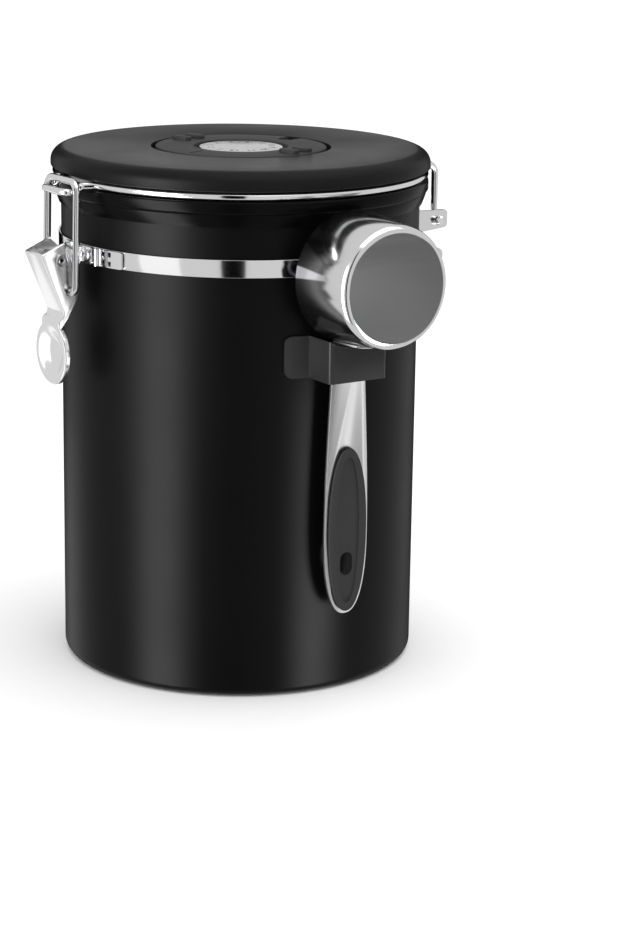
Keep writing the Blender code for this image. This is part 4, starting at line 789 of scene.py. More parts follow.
class CANISTER_OT_finishes(bpy.types.Operator):
    """Make the materials of all pieces"""
    bl_idname = "canister.finishes"
    bl_label = "Materials"

    def execute(self, context):
        tones = context.scene.canister_finishes
        make_grain_group()
        make_handling_group()
        make_line_group()
        make_circle_group()
        satin = tones.satin_steel
        coated("jar_paint", tones.paint, rough=(0.36, 0.40), specular=0.08)
        coated("collar_paint", tones.paint, rough=(0.22, 0.27), specular=0.055, depth=0.000002)
        coated("lid_paint", tones.lid_paint, rough=(0.36, 0.42), specular=0.065)
        coated("holder_paint", tones.holder, rough=(0.30, 0.36), specular=0.20)
        coated("black_plastic", tones.plastic, rough=(0.34, 0.42), specular=0.40)
        coated("grip_rubber", tones.rubber, rough=(0.42, 0.52), specular=0.35)
        coated("silicone", tones.silicone, rough=(0.50, 0.58), specular=0.40)
        coated("white_plate", tones.white, rough=(0.35, 0.42), specular=0.40)
        coated("ink", tones.ink, rough=(0.40, 0.50), specular=0.30)
        metal("polished_steel", tones.steel, rough=(0.012, 0.022))
        metal("plain_steel", tones.steel, rough=(0.12, 0.18))
        metal("lever_steel", tones.lever_steel, rough=(0.15, 0.19))
        metal("spoon_steel", tones.lever_steel, rough=(0.17, 0.22))
        brushed_metal("inner_steel", satin, rough=(0.28, 0.36), stretch=(2500.0, 1.5), centre=ORIGIN)
        brushed_metal("handle_steel", satin, rough=(0.26, 0.34), stretch=(2600.0, 2600.0, 40.0))
        axis = -context.scene.canister_scoop.centre * Y
        brushed_metal("cup_steel", tones.steel, rough=(0.10, 0.16), stretch=(2200.0, 1.5), centre=axis,
                      turn=HALF_PI * X, depth=0.000001)
        tree, shader = brushed_metal("disc_steel", satin, rough=(0.22, 0.30), stretch=(2600.0, 1.5),
                                     centre=ORIGIN, anisotropy=0.75)
        tangent = node(tree, "ShaderNodeTangent", {}, direction_type="RADIAL", axis="Z")
        feed(tree, shader, {"Tangent": tangent.outputs["Tangent"]})
        return {"FINISHED"}


class CANISTER_OT_jar(bpy.types.Operator):
    """Build the jar and the collar on its mouth"""
    bl_idname = "canister.jar"
    bl_label = "Jar and collar"

    def execute(self, context):
        size = context.scene.canister_jar
        inner = size.radius - size.wall
        fillet = size.base_fillet
        thin = fillet - size.wall
        outline = [
            (0, 0),
            *arc((size.radius - fillet, fillet), fillet, -HALF_PI, 0),
            *arc((size.radius - LIP, size.height - LIP), LIP, 0, HALF_PI),
            *arc((inner + LIP, size.height - LIP), LIP, HALF_PI, pi),
            *arc((inner - thin, size.floor + thin), thin, 0, -HALF_PI),
            (0, size.floor),
        ]
        jar = done(turned(outline), "canister_body", "jar_paint")

        def inside(face):
            inward = face.center.xy.dot(face.normal.xy) < 0
            upward = face.normal.z > 0.5
            return inward or (upward and size.floor / 2 < face.center.z < size.height / 2)

        repainted(jar, "inner_steel", inside)
        groove = size.radius + GAP
        land = size.radius - size.land_width
        edge = size.edge
        step = size.collar_radius - size.step
        turn = size.collar_top - size.step_drop
        outline = [
            (land, size.height + GAP),
            (groove, size.height + GAP),
            (groove, size.collar_low),
            (groove + size.toe, size.collar_low),
            (step, size.collar_top - size.taper_drop),
            (step, turn - LIP),
            (step + LIP, turn),
            (size.collar_radius - LIP, turn + LIP / 2),
            (size.collar_radius, turn + 2 * LIP),
            *arc((size.collar_radius - edge, size.collar_top - edge), edge, 0, HALF_PI),
            *arc((land + edge, size.collar_top - edge), edge, HALF_PI, pi),
        ]
        done(turned(outline), "collar_ring", "collar_paint")
        return {"FINISHED"}


def on_band(strap):
    """Radius on which the plates of latch, hinge and buckle lie."""
    return strap.inner + strap.thickness + GAP


def rivet(part, along, angle, reach, size):
    """Domed rivet head on a bracket plate, with its shank."""
    turn = angle + along / reach
    lowest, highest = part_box(part)
    top = max(abs(lowest.x), abs(highest.x)) / abs(cos(turn))
    start = top - size.rivet_height - RIVET_INSET
    outline = [(0, size.inner), (size.rivet_shank, size.inner), (size.rivet_shank, start)]
    outline += arc((0, start), size.rivet_radius, 0, HALF_PI, rise=size.rivet_height)
    middle = (lowest.z + highest.z) / 2
    done(turned(outline, SMALL_STEPS, spread(turn)[0], Z, middle * Z), part, "plain_steel")


class CANISTER_OT_strap(bpy.types.Operator):
    """Build the neck band, its buckle and the rivets"""
    bl_idname = "canister.strap"
    bl_label = "Neck band and buckle"

    def buckle(self, size, middle):
        """Plate with two pairs of slots and a rolled fold."""
        inner = on_band(size)
        start = pi + size.buckle_start / inner
        half = size.buckle_length / 2
        tall = size.height / 2 - size.buckle_margin
        flat = oblong(-half, half, middle - tall, middle + tall, FINE_EDGE, 3 * FINE_EDGE, CORNER_STEPS)
        made = wrapped(flat, inner, size.buckle_sheet, start + half / inner)
        reach = size.slot_width / 2
        pair = (-size.slot_pitch / 2, size.slot_pitch / 2)
        for up in pair:
            for aside in pair:
                out, across = spread(start + (size.slot_inset + aside) / inner)
                height = middle + up
                hole = oblong(-reach, reach, height - reach, height + reach, FINE_EDGE, steps=CORNER_STEPS)
                flat = [out * (inner - GAP) + across * x + z * Z for x, z, _ in hole]
                cut(made, sheet(flat, out * 3 * size.buckle_sheet))
        place = spread(start)[0] * (inner + size.fold_radius) + middle * Z
        fuse(made, pin(size.fold_radius, 2 * tall, Z, place))
        done(made, "band_buckle", "polished_steel")

    def execute(self, context):
        size = context.scene.canister_strap
        lowest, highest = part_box("neck_band")
        outer = size.inner + size.thickness
        band = oblong(size.inner, outer, lowest.z, highest.z, FINE_EDGE, steps=CORNER_STEPS)
        done(turned(band), "neck_band", "polished_steel")
        self.buckle(size, (lowest.z + highest.z) / 2)
        latch = context.scene.canister_latch.rivet_offset
        hinge = context.scene.canister_hinge.rivet_offset
        for number, side in ((1, -1), (2, 1)):
            rivet(f"latch_rivet_{number}", side * latch, pi, on_band(size), size)
            rivet(f"hinge_rivet_{number}", side * hinge, 0, on_band(size), size)
        return {"FINISHED"}


class CANISTER_OT_latch(bpy.types.Operator):
    """Build the latch: base, hollow pin, lever and bail"""
    bl_idname = "canister.latch"
    bl_label = "Latch"

    def base(self, size, strap):
        bottom = low("neck_band").z
        top = high("neck_band").z
        inner = on_band(strap)
        thin = size.sheet
        flat = oblong(-size.plate_half, size.plate_half, bottom, top, size.plate_corner)
        made = wrapped(flat, inner, thin, pi)
        ear = size.half_width - thin - GAP
        root = -(inner + thin / 2) * cos(ear / inner)
        profile = [(root, top), (root, top - size.ear_root)]
        profile += arc((PIVOT.x, PIVOT.z), size.ear_end, -HALF_PI, -3 * HALF_PI, 2 * ARC_STEPS)
        for start in (thin - ear, ear):
            fuse(made, upright(profile, start, thin))
        cut(made, pin(size.bore + GAP, 2 * size.half_width, Y, PIVOT))
        softened(made, size.plate_edge)
        done(made, "latch_base", "plain_steel")

    def hollow_pin(self, size):
        half = size.half_width + GAP
        end = half + size.flange
        profile = [(size.pin_hollow, end), (size.flange_radius, end)]
        profile += [(size.flange_radius, half), (size.bore, half)]
        outline = [(radius, -height) for radius, height in profile] + profile[::-1]
        made = turned(outline, SMALL_STEPS, Y, X, PIVOT)
        softened(made, FINE_EDGE, 3)
        done(made, "latch_pivot", "polished_steel")

    def spoon(self, size):
        """Round dished press with a flat middle and a turned-back rim."""
        thick = size.sheet
        flat = size.flat_radius
        rim = size.spoon_radius - size.rim_width
        slope = []
        for index in range(1, ARC_STEPS):
            way = index / ARC_STEPS
            ease = way * way * (3 - 2 * way)
            slope.append((flat + (rim - flat) * way, -size.dish_depth * (1 - ease)))
        dish = [(0, -size.dish_depth), (flat, -size.dish_depth), *slope, (rim, 0)]
        lip = size.spoon_radius - thick
        outline = [
            *dish,
            *arc((size.spoon_radius - thick / 2, -thick / 2), thick / 2, HALF_PI, 0, EDGE_STEPS),
            (size.spoon_radius, -size.flange_depth),
            (lip, -size.flange_depth),
            (lip, -thick),
            *((radius, height - thick) for radius, height in reversed(dish)),
        ]
        centre = PIVOT + size.spoon_top[0] * X - size.spoon_drop * Z
        return turned(outline, PART_STEPS, -X, Y, centre)

    def lever(self, size):
        """Channel lever: its side is extruded, then hollowed, drilled and joined with the spoon."""
        thin = size.sheet
        pin_at = PIVOT.xz
        web_top = pin_at + Vector(size.web_top)
        fold = pin_at + Vector(size.fold)
        toe = pin_at + Vector(size.toe)
        made = upright(rounded([
            (web_top, 0),
            (fold, size.bend),
            (pin_at + Vector(size.spoon_top), size.bend),
            (toe, 0),
            (toe + Vector((thin, 0)), 0),
            (pin_at + Vector(size.neck), thin),
            (pin_at + Vector(size.heel), size.heel[0]),
            (pin_at + Vector(size.belly), thin),
            (pin_at + Vector(size.shoulder), thin),
            (pin_at + Vector(size.peak), thin),
        ]), size.half_width, 2 * size.half_width)
        softened(made, size.edge, 3, WIDE_ANGLE)
        along = (web_top - fold).normalized()
        inward = Vector((along.y, -along.x))
        start = web_top + along * size.peak[1] + inward * thin
        end = fold + (inward + along) * thin
        far = inward * (size.heel[0] - size.web_top[0] + thin)
        inner = size.half_width - thin
        cut(made, upright([start, start + far, end + far, end], inner, 2 * inner))
        for place, radius in ((PIVOT, size.bore), (BAIL_HOLE, size.wire)):
            cut(made, pin(radius + GAP, 3 * size.half_width, Y, place))
        rim = size.spoon_radius - size.rim_width
        cut(made, pin(rim, 2 * size.spoon_radius, X, PIVOT - size.spoon_drop * Z, PART_STEPS))
        fuse(made, self.spoon(size))
        softened(made, size.sheet_edge, 2, BLUNT_ANGLE)
        done(made, "latch_lever", "lever_steel")
        spoon_top = PIVOT.z + size.spoon_top[1]
        repainted(made, "spoon_steel", lambda face: face.center.z < spoon_top)

    def bail(self, size):
        reach = high("bail_wire").x - size.wire
        top = high("bail_wire").z - size.wire
        end = size.half_width - size.sheet - size.end_inset
        corners = [
            ((BAIL_HOLE.x, -end, BAIL_HOLE.z), 0),
            ((BAIL_HOLE.x, -size.bail_half, BAIL_HOLE.z), size.end_bend),
            ((reach, -size.bail_half, top), size.top_bend),
        ]
        corners += [((x, -y, z), radius) for (x, y, z), radius in reversed(corners)]
        done(wire(rounded(corners, BEND_STEPS, closed=False), size.wire), "bail_wire", "polished_steel")

    def execute(self, context):
        size = context.scene.canister_latch
        self.base(size, context.scene.canister_strap)
        self.hollow_pin(size)
        self.lever(size)
        self.bail(size)
        return {"FINISHED"}


class CANISTER_OT_hinge(bpy.types.Operator):
    """Build the hinge bracket"""
    bl_idname = "canister.hinge"
    bl_label = "Hinge bracket"

    def execute(self, context):
        size = context.scene.canister_hinge
        inner = on_band(context.scene.canister_strap)
        middle = (low("neck_band").z + high("neck_band").z) / 2
        bottom = middle - size.drop
        flat = oblong(-size.half, size.half, bottom, middle + size.rise, size.corner)
        made = wrapped(flat, inner, size.sheet, 0)
        outer = inner + size.sheet
        root = outer * cos(size.half / outer) - size.sheet / 2
        end = HINGE.x + size.ear_reach
        ear = rounded([
            ((root, HINGE.z - size.ear_drop - size.ear_corner), 0),
            ((end, HINGE.z - size.ear_drop), size.ear_corner),
            ((end, HINGE.z + size.ear_rise), size.ear_corner),
            ((root, HINGE.z + size.ear_rise + GAP), 0),
        ])
        tab = oblong(root, inner + size.tab_reach, bottom, bottom + size.tab_height, 0, size.corner)
        for start in (-size.ear_inner, size.ear_inner + size.ear_sheet):
            for outline in (ear, tab):
                fuse(made, upright(outline, start, size.ear_sheet))
        cut(made, pin(size.bore, 3 * size.half, Y, HINGE))
        softened(made, size.edge)
        done(made, "hinge_bracket", "plain_steel")
        return {"FINISHED"}


class CANISTER_OT_lid(bpy.types.Operator):
    """Build the lid: bent wire, cover, inner plate and gasket"""
    bl_idname = "canister.lid"
    bl_label = "Lid"

    def ring_wire(self, size):
        """Half of the wire, from a hinge leg round to the nose, and its mirror image."""
        height = high("lid_wire").z - size.radius
        join = -atan2(size.half_spread, size.ring_radius)
        join_x = size.ring_radius * cos(join)
        root = acos(-sqrt(1 - (size.root_half / size.ring_radius) ** 2))
        tip_x = -(size.crossbar + size.nose_hook)
        shoulder_x = -(size.ring_radius + 2 * size.radius + size.bend / 2)
        dip = height - size.nose_dip
        start = join - (size.top_bend / 2) / size.ring_radius
        turn = arc(ORIGIN, size.ring_radius, start, -root, ROUND_STEPS // 2)
        ring = [Vector((x, y, height)) for x, y in turn]
        legs = rounded([
            ((HINGE.x, -size.stub, HINGE.z), 0),
            ((HINGE.x, -size.half_spread, HINGE.z), size.end_bend),
            ((HINGE.x, -size.half_spread, height), size.top_bend),
            ((join_x, -size.half_spread, height), size.end_bend),
            (ring[0], 0),
        ], BEND_STEPS, closed=False)
        nose = rounded([
            (ring[-2], 0),
            (ring[-1], 0),
            ((shoulder_x, -size.nose_half - size.bend / 2, height - size.nose_lift / 2), size.bend),
            ((size.bend - size.crossbar, -size.nose_half, dip), size.bend),
            ((tip_x, -size.nose_half, dip + size.nose_lift), size.corner),
            ((tip_x, size.nose_half, dip + size.nose_lift), size.corner),
        ], BEND_STEPS, closed=False)
        half = legs + ring[1:-2] + nose[:-1]
        other = [Vector((x, -y, z)) for x, y, z in reversed(half)]
        done(wire(half + other, size.radius), "lid_wire", "polished_steel")

    def cover(self, size):
        width, height = size.shoulder
        thin = size.sheet
        shoulder = (size.radius - width, size.top - height)
        outline = [
            (size.bore, size.well_floor),
            (size.well_radius, size.well_floor),
            (size.well_radius, size.top - LIP),
            (size.well_radius + LIP / 3, size.top - LIP / 3),
            (size.well_radius + LIP, size.top),
            *arc(shoulder, width, HALF_PI, 0, 3 * ARC_STEPS, height),
            *arc((size.radius - thin / 2, size.bottom + thin / 2), thin / 2, 0, -HALF_PI, ARC_STEPS // 2),
            (size.radius - size.hem, size.bottom),
            (size.radius - size.hem, size.bottom + thin),
            *arc(shoulder, width - thin, 0, HALF_PI, rise=height - thin),
            (size.well_radius + thin, size.top - thin),
            (size.well_radius + thin, size.well_floor - thin),
            (size.bore, size.well_floor - thin),
        ]
        done(turned(outline), "lid_cover", "lid_paint")

    def inner(self, size):
        outer = high("lid_inner").x
        top = high("lid_inner").z
        seal = high("lid_gasket").z + GAP
        flange_low = low("lid_cover").z - GAP
        flange_top = flange_low + size.flange
        floor_top = size.plug_bottom + size.plug_sheet
        rib = size.rib_radius - size.plug_sheet
        wall = size.plug_radius - size.plug_sheet
        edge = size.edge
        outline = [
            (size.vent_bore, size.plug_bottom),
            *arc((size.plug_radius - edge, size.plug_bottom + edge), edge, -HALF_PI, 0),
            (size.plug_radius, seal),
            (size.seat, seal),
            (size.seat, flange_low),
            (outer, flange_low),
            (outer, flange_top),
            (size.rib_radius, flange_top),
            (size.rib_radius, top),
            (rib, top),
            (rib, flange_top),
            (wall, flange_top),
            (wall, floor_top),
            (size.vent_bore, floor_top),
        ]
        done(turned(outline), "lid_inner", "black_plastic")

    def gasket(self, size):
        lowest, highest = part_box("lid_gasket")
        inner = size.plug_radius + GAP
        outer = highest.x
        lip = size.gasket_lip
        middle = (inner + outer) / 2
        rest = lowest.z + lip
        outline = [
            (inner, rest),
            (middle - lip, rest),
            *arc((middle + lip / 2, rest), lip, pi, FULL_TURN),
            (outer, rest),
            (outer, highest.z),
            (inner, highest.z),
        ]
        done(turned(outline), "lid_gasket", "silicone")

    def execute(self, context):
        size = context.scene.canister_lid
        self.ring_wire(context.scene.canister_wire)
        self.cover(size)
        self.inner(size)
        self.gasket(size)
        return {"FINISHED"}


class CANISTER_OT_dial(bpy.types.Operator):
    """Build the date dial: day plate, turning ring, month disc and numbers"""
    bl_idname = "canister.dial"
    bl_label = "Date dial"

    def plate(self, bore):
        lowest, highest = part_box("date_plate")
        outer = highest.x
        edge = (highest.z - lowest.z) / 4
        outline = [
            (bore, lowest.z),
            (outer - edge, lowest.z),
            (outer, lowest.z + edge),
            (outer, highest.z - edge),
            (outer - edge, highest.z),
            (bore, highest.z),
        ]
        done(turned(outline), "date_plate", "white_plate")

    def slot(self, size, half, start, end, angle, sideways=0.0):
        """Straight slot along a radius of the dial, with round ends."""
        along, across = spread(size.angle + angle)
        ends = arc((start + half, 0), half, HALF_PI, 3 * HALF_PI)
        ends += arc((end - half, 0), half, -HALF_PI, HALF_PI)
        return [along * x + across * (y + sideways) for x, y in ends]

    def ring(self, size):
        edge = size.edge
        made = turned([
            (size.ring_bore, size.ring_bottom),
            (size.ring_radius, size.ring_bottom),
            *arc((size.ring_radius - edge, size.ring_top - edge), edge, 0, HALF_PI, EDGE_STEPS),
            *arc((size.ring_bore + edge, size.ring_top - edge), edge, HALF_PI, pi, EDGE_STEPS),
        ])
        span = size.ring_top - size.ring_bottom
        half = size.window_half
        window = self.slot(size, half, size.window_inner, size.ring_radius + 4 * half, 0)
        cut(made, level(window, size.ring_bottom - span, 3 * span))
        mark = self.slot(size, size.mark_width / 2, *size.mark, pi)
        cut(made, level(mark, size.ring_top - size.mark_depth, span))
        start = size.grip_orbit - size.grip_length / 2
        end = start + size.grip_length
        for side in (HALF_PI, -HALF_PI):
            for aside in (-size.grip_spacing / 2, size.grip_spacing / 2):
                nub = self.slot(size, size.grip_width / 2, start, end, side, aside)
                bar = level(nub, size.ring_top - span / 2, size.grip_height + span / 2)
                fuse(made, softened(bar, edge, 3))
        done(made, "day_ring", "black_plastic")

    def disc(self, size):
        edge = size.edge
        under = size.disc_top - size.disc_sheet
        outline = [
            (0, size.ring_bottom),
            (size.hub_radius, size.ring_bottom),
            (size.hub_radius, under),
            (size.disc_radius, under),
            (size.disc_radius, size.disc_top - edge),
            (size.disc_radius - edge / 2, size.disc_top - edge / 8),
            (size.disc_radius - edge, size.disc_top),
            (0, size.disc_top),
        ]
        done(turned(outline), "month_disc", "disc_steel")

    def numbers(self, name, count, orbit, tall, start, height, ink):
        """Numbers from 1 up, clockwise round the dial, as one mesh."""
        made = []
        for index in range(count):
            turn = start - FULL_TURN * index / count
            place = spread(turn)[0] * orbit + (height + ink / 2) * Z
            made.append(lettering(str(index + 1), tall, place, turn - HALF_PI, ink))
        deselect()
        for piece in made:
            piece.select_set(True)
        bpy.context.view_layer.objects.active = made[0]
        bpy.ops.object.join()
        made[0].name = name
        return made[0]

    def execute(self, context):
        size = context.scene.canister_dial
        self.plate(context.scene.canister_lid.bore)
        self.ring(size)
        self.disc(size)
        first = size.angle + FULL_TURN * (size.shown_day - 1) / size.days
        top = high("date_plate").z
        days = self.numbers("day_numbers", size.days, size.day_orbit, size.day_size, first, top, size.ink)
        done(days, "date_plate", "ink", replaced=False)
        months = self.numbers("month_numbers", size.months, size.month_orbit, size.month_size,
                              size.month_turn, size.disc_top, size.ink)
        done(months, "month_disc", "ink", replaced=False)
        return {"FINISHED"}


class CANISTER_OT_vent(bpy.types.Operator):
    """Build the one-way vent under the lid"""
    bl_idname = "canister.vent"
    bl_label = "One-way vent"

    def body(self, size):
        lowest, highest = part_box("valve_body")
        under = highest.z - size.flange
        seat_low = low("valve_flap").z
        seat_top = seat_low + size.seat
        stem = size.stem + GAP
        made = turned([
            (stem, seat_low),
            (size.bore, seat_low),
            (size.bore, lowest.z),
            (size.tube_radius, lowest.z),
            (size.tube_radius, under),
            (size.flange_radius, under),
            (size.flange_radius, highest.z),
            (size.bore, highest.z),
            (size.bore, seat_top),
            (stem, seat_top),
        ], PART_STEPS)
        middle = (seat_low + seat_top) / 2 * Z
        for index in range(size.holes):
            place = spread(FULL_TURN * index / size.holes)[0] * size.hole_orbit + middle
            cut(made, pin(size.hole, 3 * size.seat, Z, place))
        softened(made, FINE_EDGE)
        done(made, "valve_body", "black_plastic")

    def flap(self, size):
        lowest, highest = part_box("valve_flap")
        under = highest.z - size.flap_sheet
        edge = size.flap_sheet / 3
        outline = [
            (0, lowest.z),
            (size.stem, lowest.z),
            (size.stem, under),
            (size.flap_radius, under),
            (size.flap_radius, highest.z - edge),
            (size.flap_radius - edge, highest.z),
            (0, highest.z),
        ]
        done(turned(outline, PART_STEPS), "valve_flap", "silicone")

    def cap(self, size):
        lowest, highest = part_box("valve_cap")
        top = lowest.z + size.flange
        outer = size.bore - GAP
        inner = outer - size.ring_wall
        edge = size.flange / 2
        made = turned([
            (0, lowest.z),
            *arc((size.flange_radius - edge, lowest.z + edge), edge, -HALF_PI, 0),
            (size.flange_radius, top),
            (outer, top),
            (outer, highest.z),
            (inner, highest.z),
            (inner, top),
            (0, top),
        ], PART_STEPS)
        long, wide = Vector(size.slot) / 2
        for middle in (-size.slot_pitch, 0, size.slot_pitch):
            flat = oblong(-long, long, middle - wide, middle + wide, 0)
            cut(made, level(flat, lowest.z - size.flange, 3 * size.flange))
        done(made, "valve_cap", "black_plastic")

    def execute(self, context):
        size = context.scene.canister_vent
        self.body(size)
        self.flap(size)
        self.cap(size)
        return {"FINISHED"}


class CANISTER_OT_scoop(bpy.types.Operator):
    """Build the scoop: holder, bowl, handle and grip"""
    bl_idname = "canister.scoop"
    bl_label = "Scoop and holder"

    def holder(self, size, jar):
        """Strip bent to a U on two feet, with a round cradle for the bowl."""
        lowest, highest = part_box("scoop_holder")
        wall = jar.radius + size.gap
        front = -size.front
        side = size.half
        thin = side - size.sheet
        root = -(wall + size.sheet / 2) * cos(side / wall)
        bend = size.corner - size.sheet
        made = level(rounded([
            ((side, root), 0),
            ((side, front), size.corner),
            ((-side, front), size.corner),
            ((-side, root), 0),
            ((-thin, root), 0),
            ((-thin, front + size.sheet), bend),
            ((thin, front + size.sheet), bend),
            ((thin, root), 0),
        ]), lowest.z, highest.z - lowest.z)
        for direction in (-1, 1):
            far = direction * (side + size.foot)
            flat = oblong(direction * thin, far, lowest.z, highest.z, 0, size.foot_corner)
            fuse(made, wrapped(flat, wall, size.sheet, -HALF_PI))
        place = (0, (front - wall) / 2, size.centre)
        cut(made, pin(size.cradle, 3 * (-front - wall), Y, place, ROUND_STEPS))
        softened(made, FINE_EDGE)
        done(made, "scoop_holder", "holder_paint")

    def bowl(self, size):
        fillet = size.base_fillet
        bend = (size.base - fillet, size.depth - fillet)
        outline = [
            (0, size.depth),
            *arc(bend, fillet, HALF_PI, 0),
            (size.mouth, LIP),
            (size.mouth - LIP / 3, LIP / 3),
            (size.mouth - LIP, 0),
            (size.mouth - size.sheet, 0),
            *arc(bend, fillet - size.sheet, 0, HALF_PI),
            (0, size.depth - size.sheet),
        ]
        centre = high("scoop_cup").y * Y + size.centre * Z
        done(turned(outline, axis=-Y, centre=centre), "scoop_cup", "cup_steel")

    def half_width(self, size, height):
        """Half the handle's width at a height."""
        if height >= size.wide_height:
            way = (height - size.wide_height) / (high("scoop_holder").z - size.wide_height)
            return size.wide_half + (size.top_half - size.wide_half) * way * way * (2 - way)
        drop = (size.wide_height - height) / (size.wide_height - size.tip_height)
        return size.wide_half * max(0, 1 - drop ** size.tip_power) ** (1 / size.tip_power)

    def handle_outline(self, size):
        top = size.centre - sqrt((size.seat + size.tab_sheet / 2) ** 2 - size.top_half ** 2)
        steps = 3 * ARC_STEPS
        heights = []
        for index in range(1, steps + 1):
            bow = cos(HALF_PI * index / steps)
            heights.append(size.wide_height - (size.wide_height - size.tip_height) * bow)
        for index in range(1, steps + 1):
            heights.append(size.wide_height + (top - size.wide_height) * index / steps)
        side = [(self.half_width(size, height), height) for height in heights]
        return [(0, size.tip_height)] + side + [(-x, z) for x, z in reversed(side)]

    def grip_outline(self, size, offset):
        """Outline of the grip, an oval with fuller corners, wider or narrower by an offset."""
        low_end = size.tip_height + size.grip_margin
        width = size.wide_half - size.grip_margin - size.grip_flange + offset
        span = (size.grip_top - low_end) / 2 - size.grip_flange + offset
        middle = (size.grip_top + low_end) / 2

        def fuller(value):
            return abs(value) ** (2 / size.grip_power) * (1 if value >= 0 else -1)

        oval = arc(ORIGIN, 1, 0, FULL_TURN, PART_STEPS)[:-1]
        return [(width * fuller(x), middle + span * fuller(z)) for x, z in oval]

    def saddle(self, size):
        """Short strip bent to the bowl's round side and its taper."""
        span = size.handle_sheet + size.tab_length
        drop = (size.mouth - size.base) / size.depth * size.tab_length
        outer = size.seat + size.tab_sheet
        side = asin(size.top_half / size.seat)
        profile = [
            (size.seat, 0),
            (outer, 0),
            (outer, size.handle_sheet),
            (outer - drop, span),
            (size.seat - drop, span),
            (size.seat, size.handle_sheet),
        ]
        centre = Vector((0, -size.back, size.centre))
        points = [Vector((-radius * sin(side), -along, -radius * cos(side))) for radius, along in profile]
        made = drawn([centre + point for point in points])
        bpy.ops.mesh.edge_face_add()
        bpy.ops.mesh.spin(steps=2 * ARC_STEPS, angle=2 * side, center=centre, axis=Y)
        closed_up()
        return made

    def handle(self, size):
        thick = size.handle_sheet
        made = upright(self.handle_outline(size), -size.back, thick)
        cut(made, pin(size.seat, size.depth, Y, (0, -size.back, size.centre), ROUND_STEPS))
        fuse(made, self.saddle(size))
        cut(made, upright(self.grip_outline(size, size.gap), thick - size.back, 3 * thick))
        softened(made, HANDLE_EDGE)
        done(made, "scoop_handle", "handle_steel")

    def grip(self, size):
        """Rubber insert: a core in the handle's window with a flange on each side, dished in front."""
        front = -(size.back + size.handle_sheet + size.gap)
        back = size.gap - size.back
        half = size.hole_half
        reach = size.hole_length / 2 - half
        hole = arc((0, size.hole_height - reach), half, -pi, 0)
        hole += arc((0, size.hole_height + reach), half, 0, pi)
        wide = self.grip_outline(size, size.grip_flange)
        dished = self.grip_outline(size, size.grip_flange - size.dish_margin)
        core = upright(self.grip_outline(size, 0), back + size.gap / 2, back - front + size.gap)
        face = softened(upright(wide, front, size.grip_rise), size.grip_edge, 3)
        cut(face, upright(dished, front - size.grip_rise + size.dish, size.grip_rise))
        cut(face, upright(hole, 0, 2 * size.back))
        softened(face, size.grip_edge / 2)
        rear = softened(upright(wide, back, -size.grip_back), size.grip_edge, 3)
        for part in (core, rear):
            cut(part, upright(hole, 0, 2 * size.back))
        fuse(core, face)
        fuse(core, rear)
        done(core, "scoop_grip", "grip_rubber")

    def execute(self, context):
        size = context.scene.canister_scoop
        self.holder(size, context.scene.canister_jar)
        self.bowl(size)
        self.handle(size)
        self.grip(size)
        return {"FINISHED"}


class CANISTER_OT_kept(bpy.types.Operator):
    """Give the kept pieces of the moving model their material"""
    bl_idname = "canister.kept"
    bl_label = "Kept pieces"

    def execute(self, context):
        for piece in frame["nodes"].values():
            if not piece.hide_render:
                piece.data.materials.clear()
                piece.data.materials.append(bpy.data.materials["plain_steel"])
        return {"FINISHED"}


def around(turn, reach, height):
    """A place round the canister: turn is measured from the scoop's side, positive towards the hinge."""
    return Vector((reach * sin(turn), -reach * cos(turn), height))


def aimed(made, name, place, aim_at, front):
    """Name a lamp or card and turn its front to a point."""
    made.name = name
    made.rotation_euler = (Vector(aim_at) - Vector(place)).to_track_quat(front, "Y").to_euler()
    return made


def softbox(name, place, aim_at, size, brightness):
    """A rectangular lamp that looks at a point."""
    deselect()
    bpy.ops.object.light_add(type="AREA", location=place)
    made = bpy.context.object
    made.data.shape = "RECTANGLE"
    made.data.size, made.data.size_y = size
    made.data.energy = brightness * pi * size[0] * size[1]
    return aimed(made, name, place, aim_at, "-Z")


def card(name, place, aim_at, size, brightness=0.0):
    """A card that only mirrors in the object: bright ones for highlights, black ones for dark lines."""
    deselect()
    bpy.ops.mesh.primitive_plane_add(size=1, location=place)
    made = aimed(bpy.context.object, name, place, aim_at, "Z")
    made.scale = (*size, 1)
    bpy.ops.object.transform_apply(location=True, rotation=True, scale=True)
    finish = bpy.data.materials.new(name)
    finish.use_nodes = True
    tree = finish.node_tree
    glow = node(tree, "ShaderNodeEmission", {"Strength": brightness})
    feed(tree, tree.nodes["Material Output"], {"Surface": glow.outputs["Emission"]})
    made.data.materials.append(finish)
    made.visible_camera = False
    made.visible_diffuse = False
    made.visible_transmission = False
    made.visible_shadow = False
    return made


def linked(lamp, nodes, state="INCLUDE"):
    """Let a lamp or card light only some pieces, or all but them."""
    pieces = bpy.data.collections.new(lamp.name + "_pieces")
    for name in nodes:
        pieces.objects.link(bpy.data.objects[name + ".look"])
    lamp.light_linking.receiver_collection = pieces
    for member in pieces.collection_objects:
        member.light_linking.link_state = state


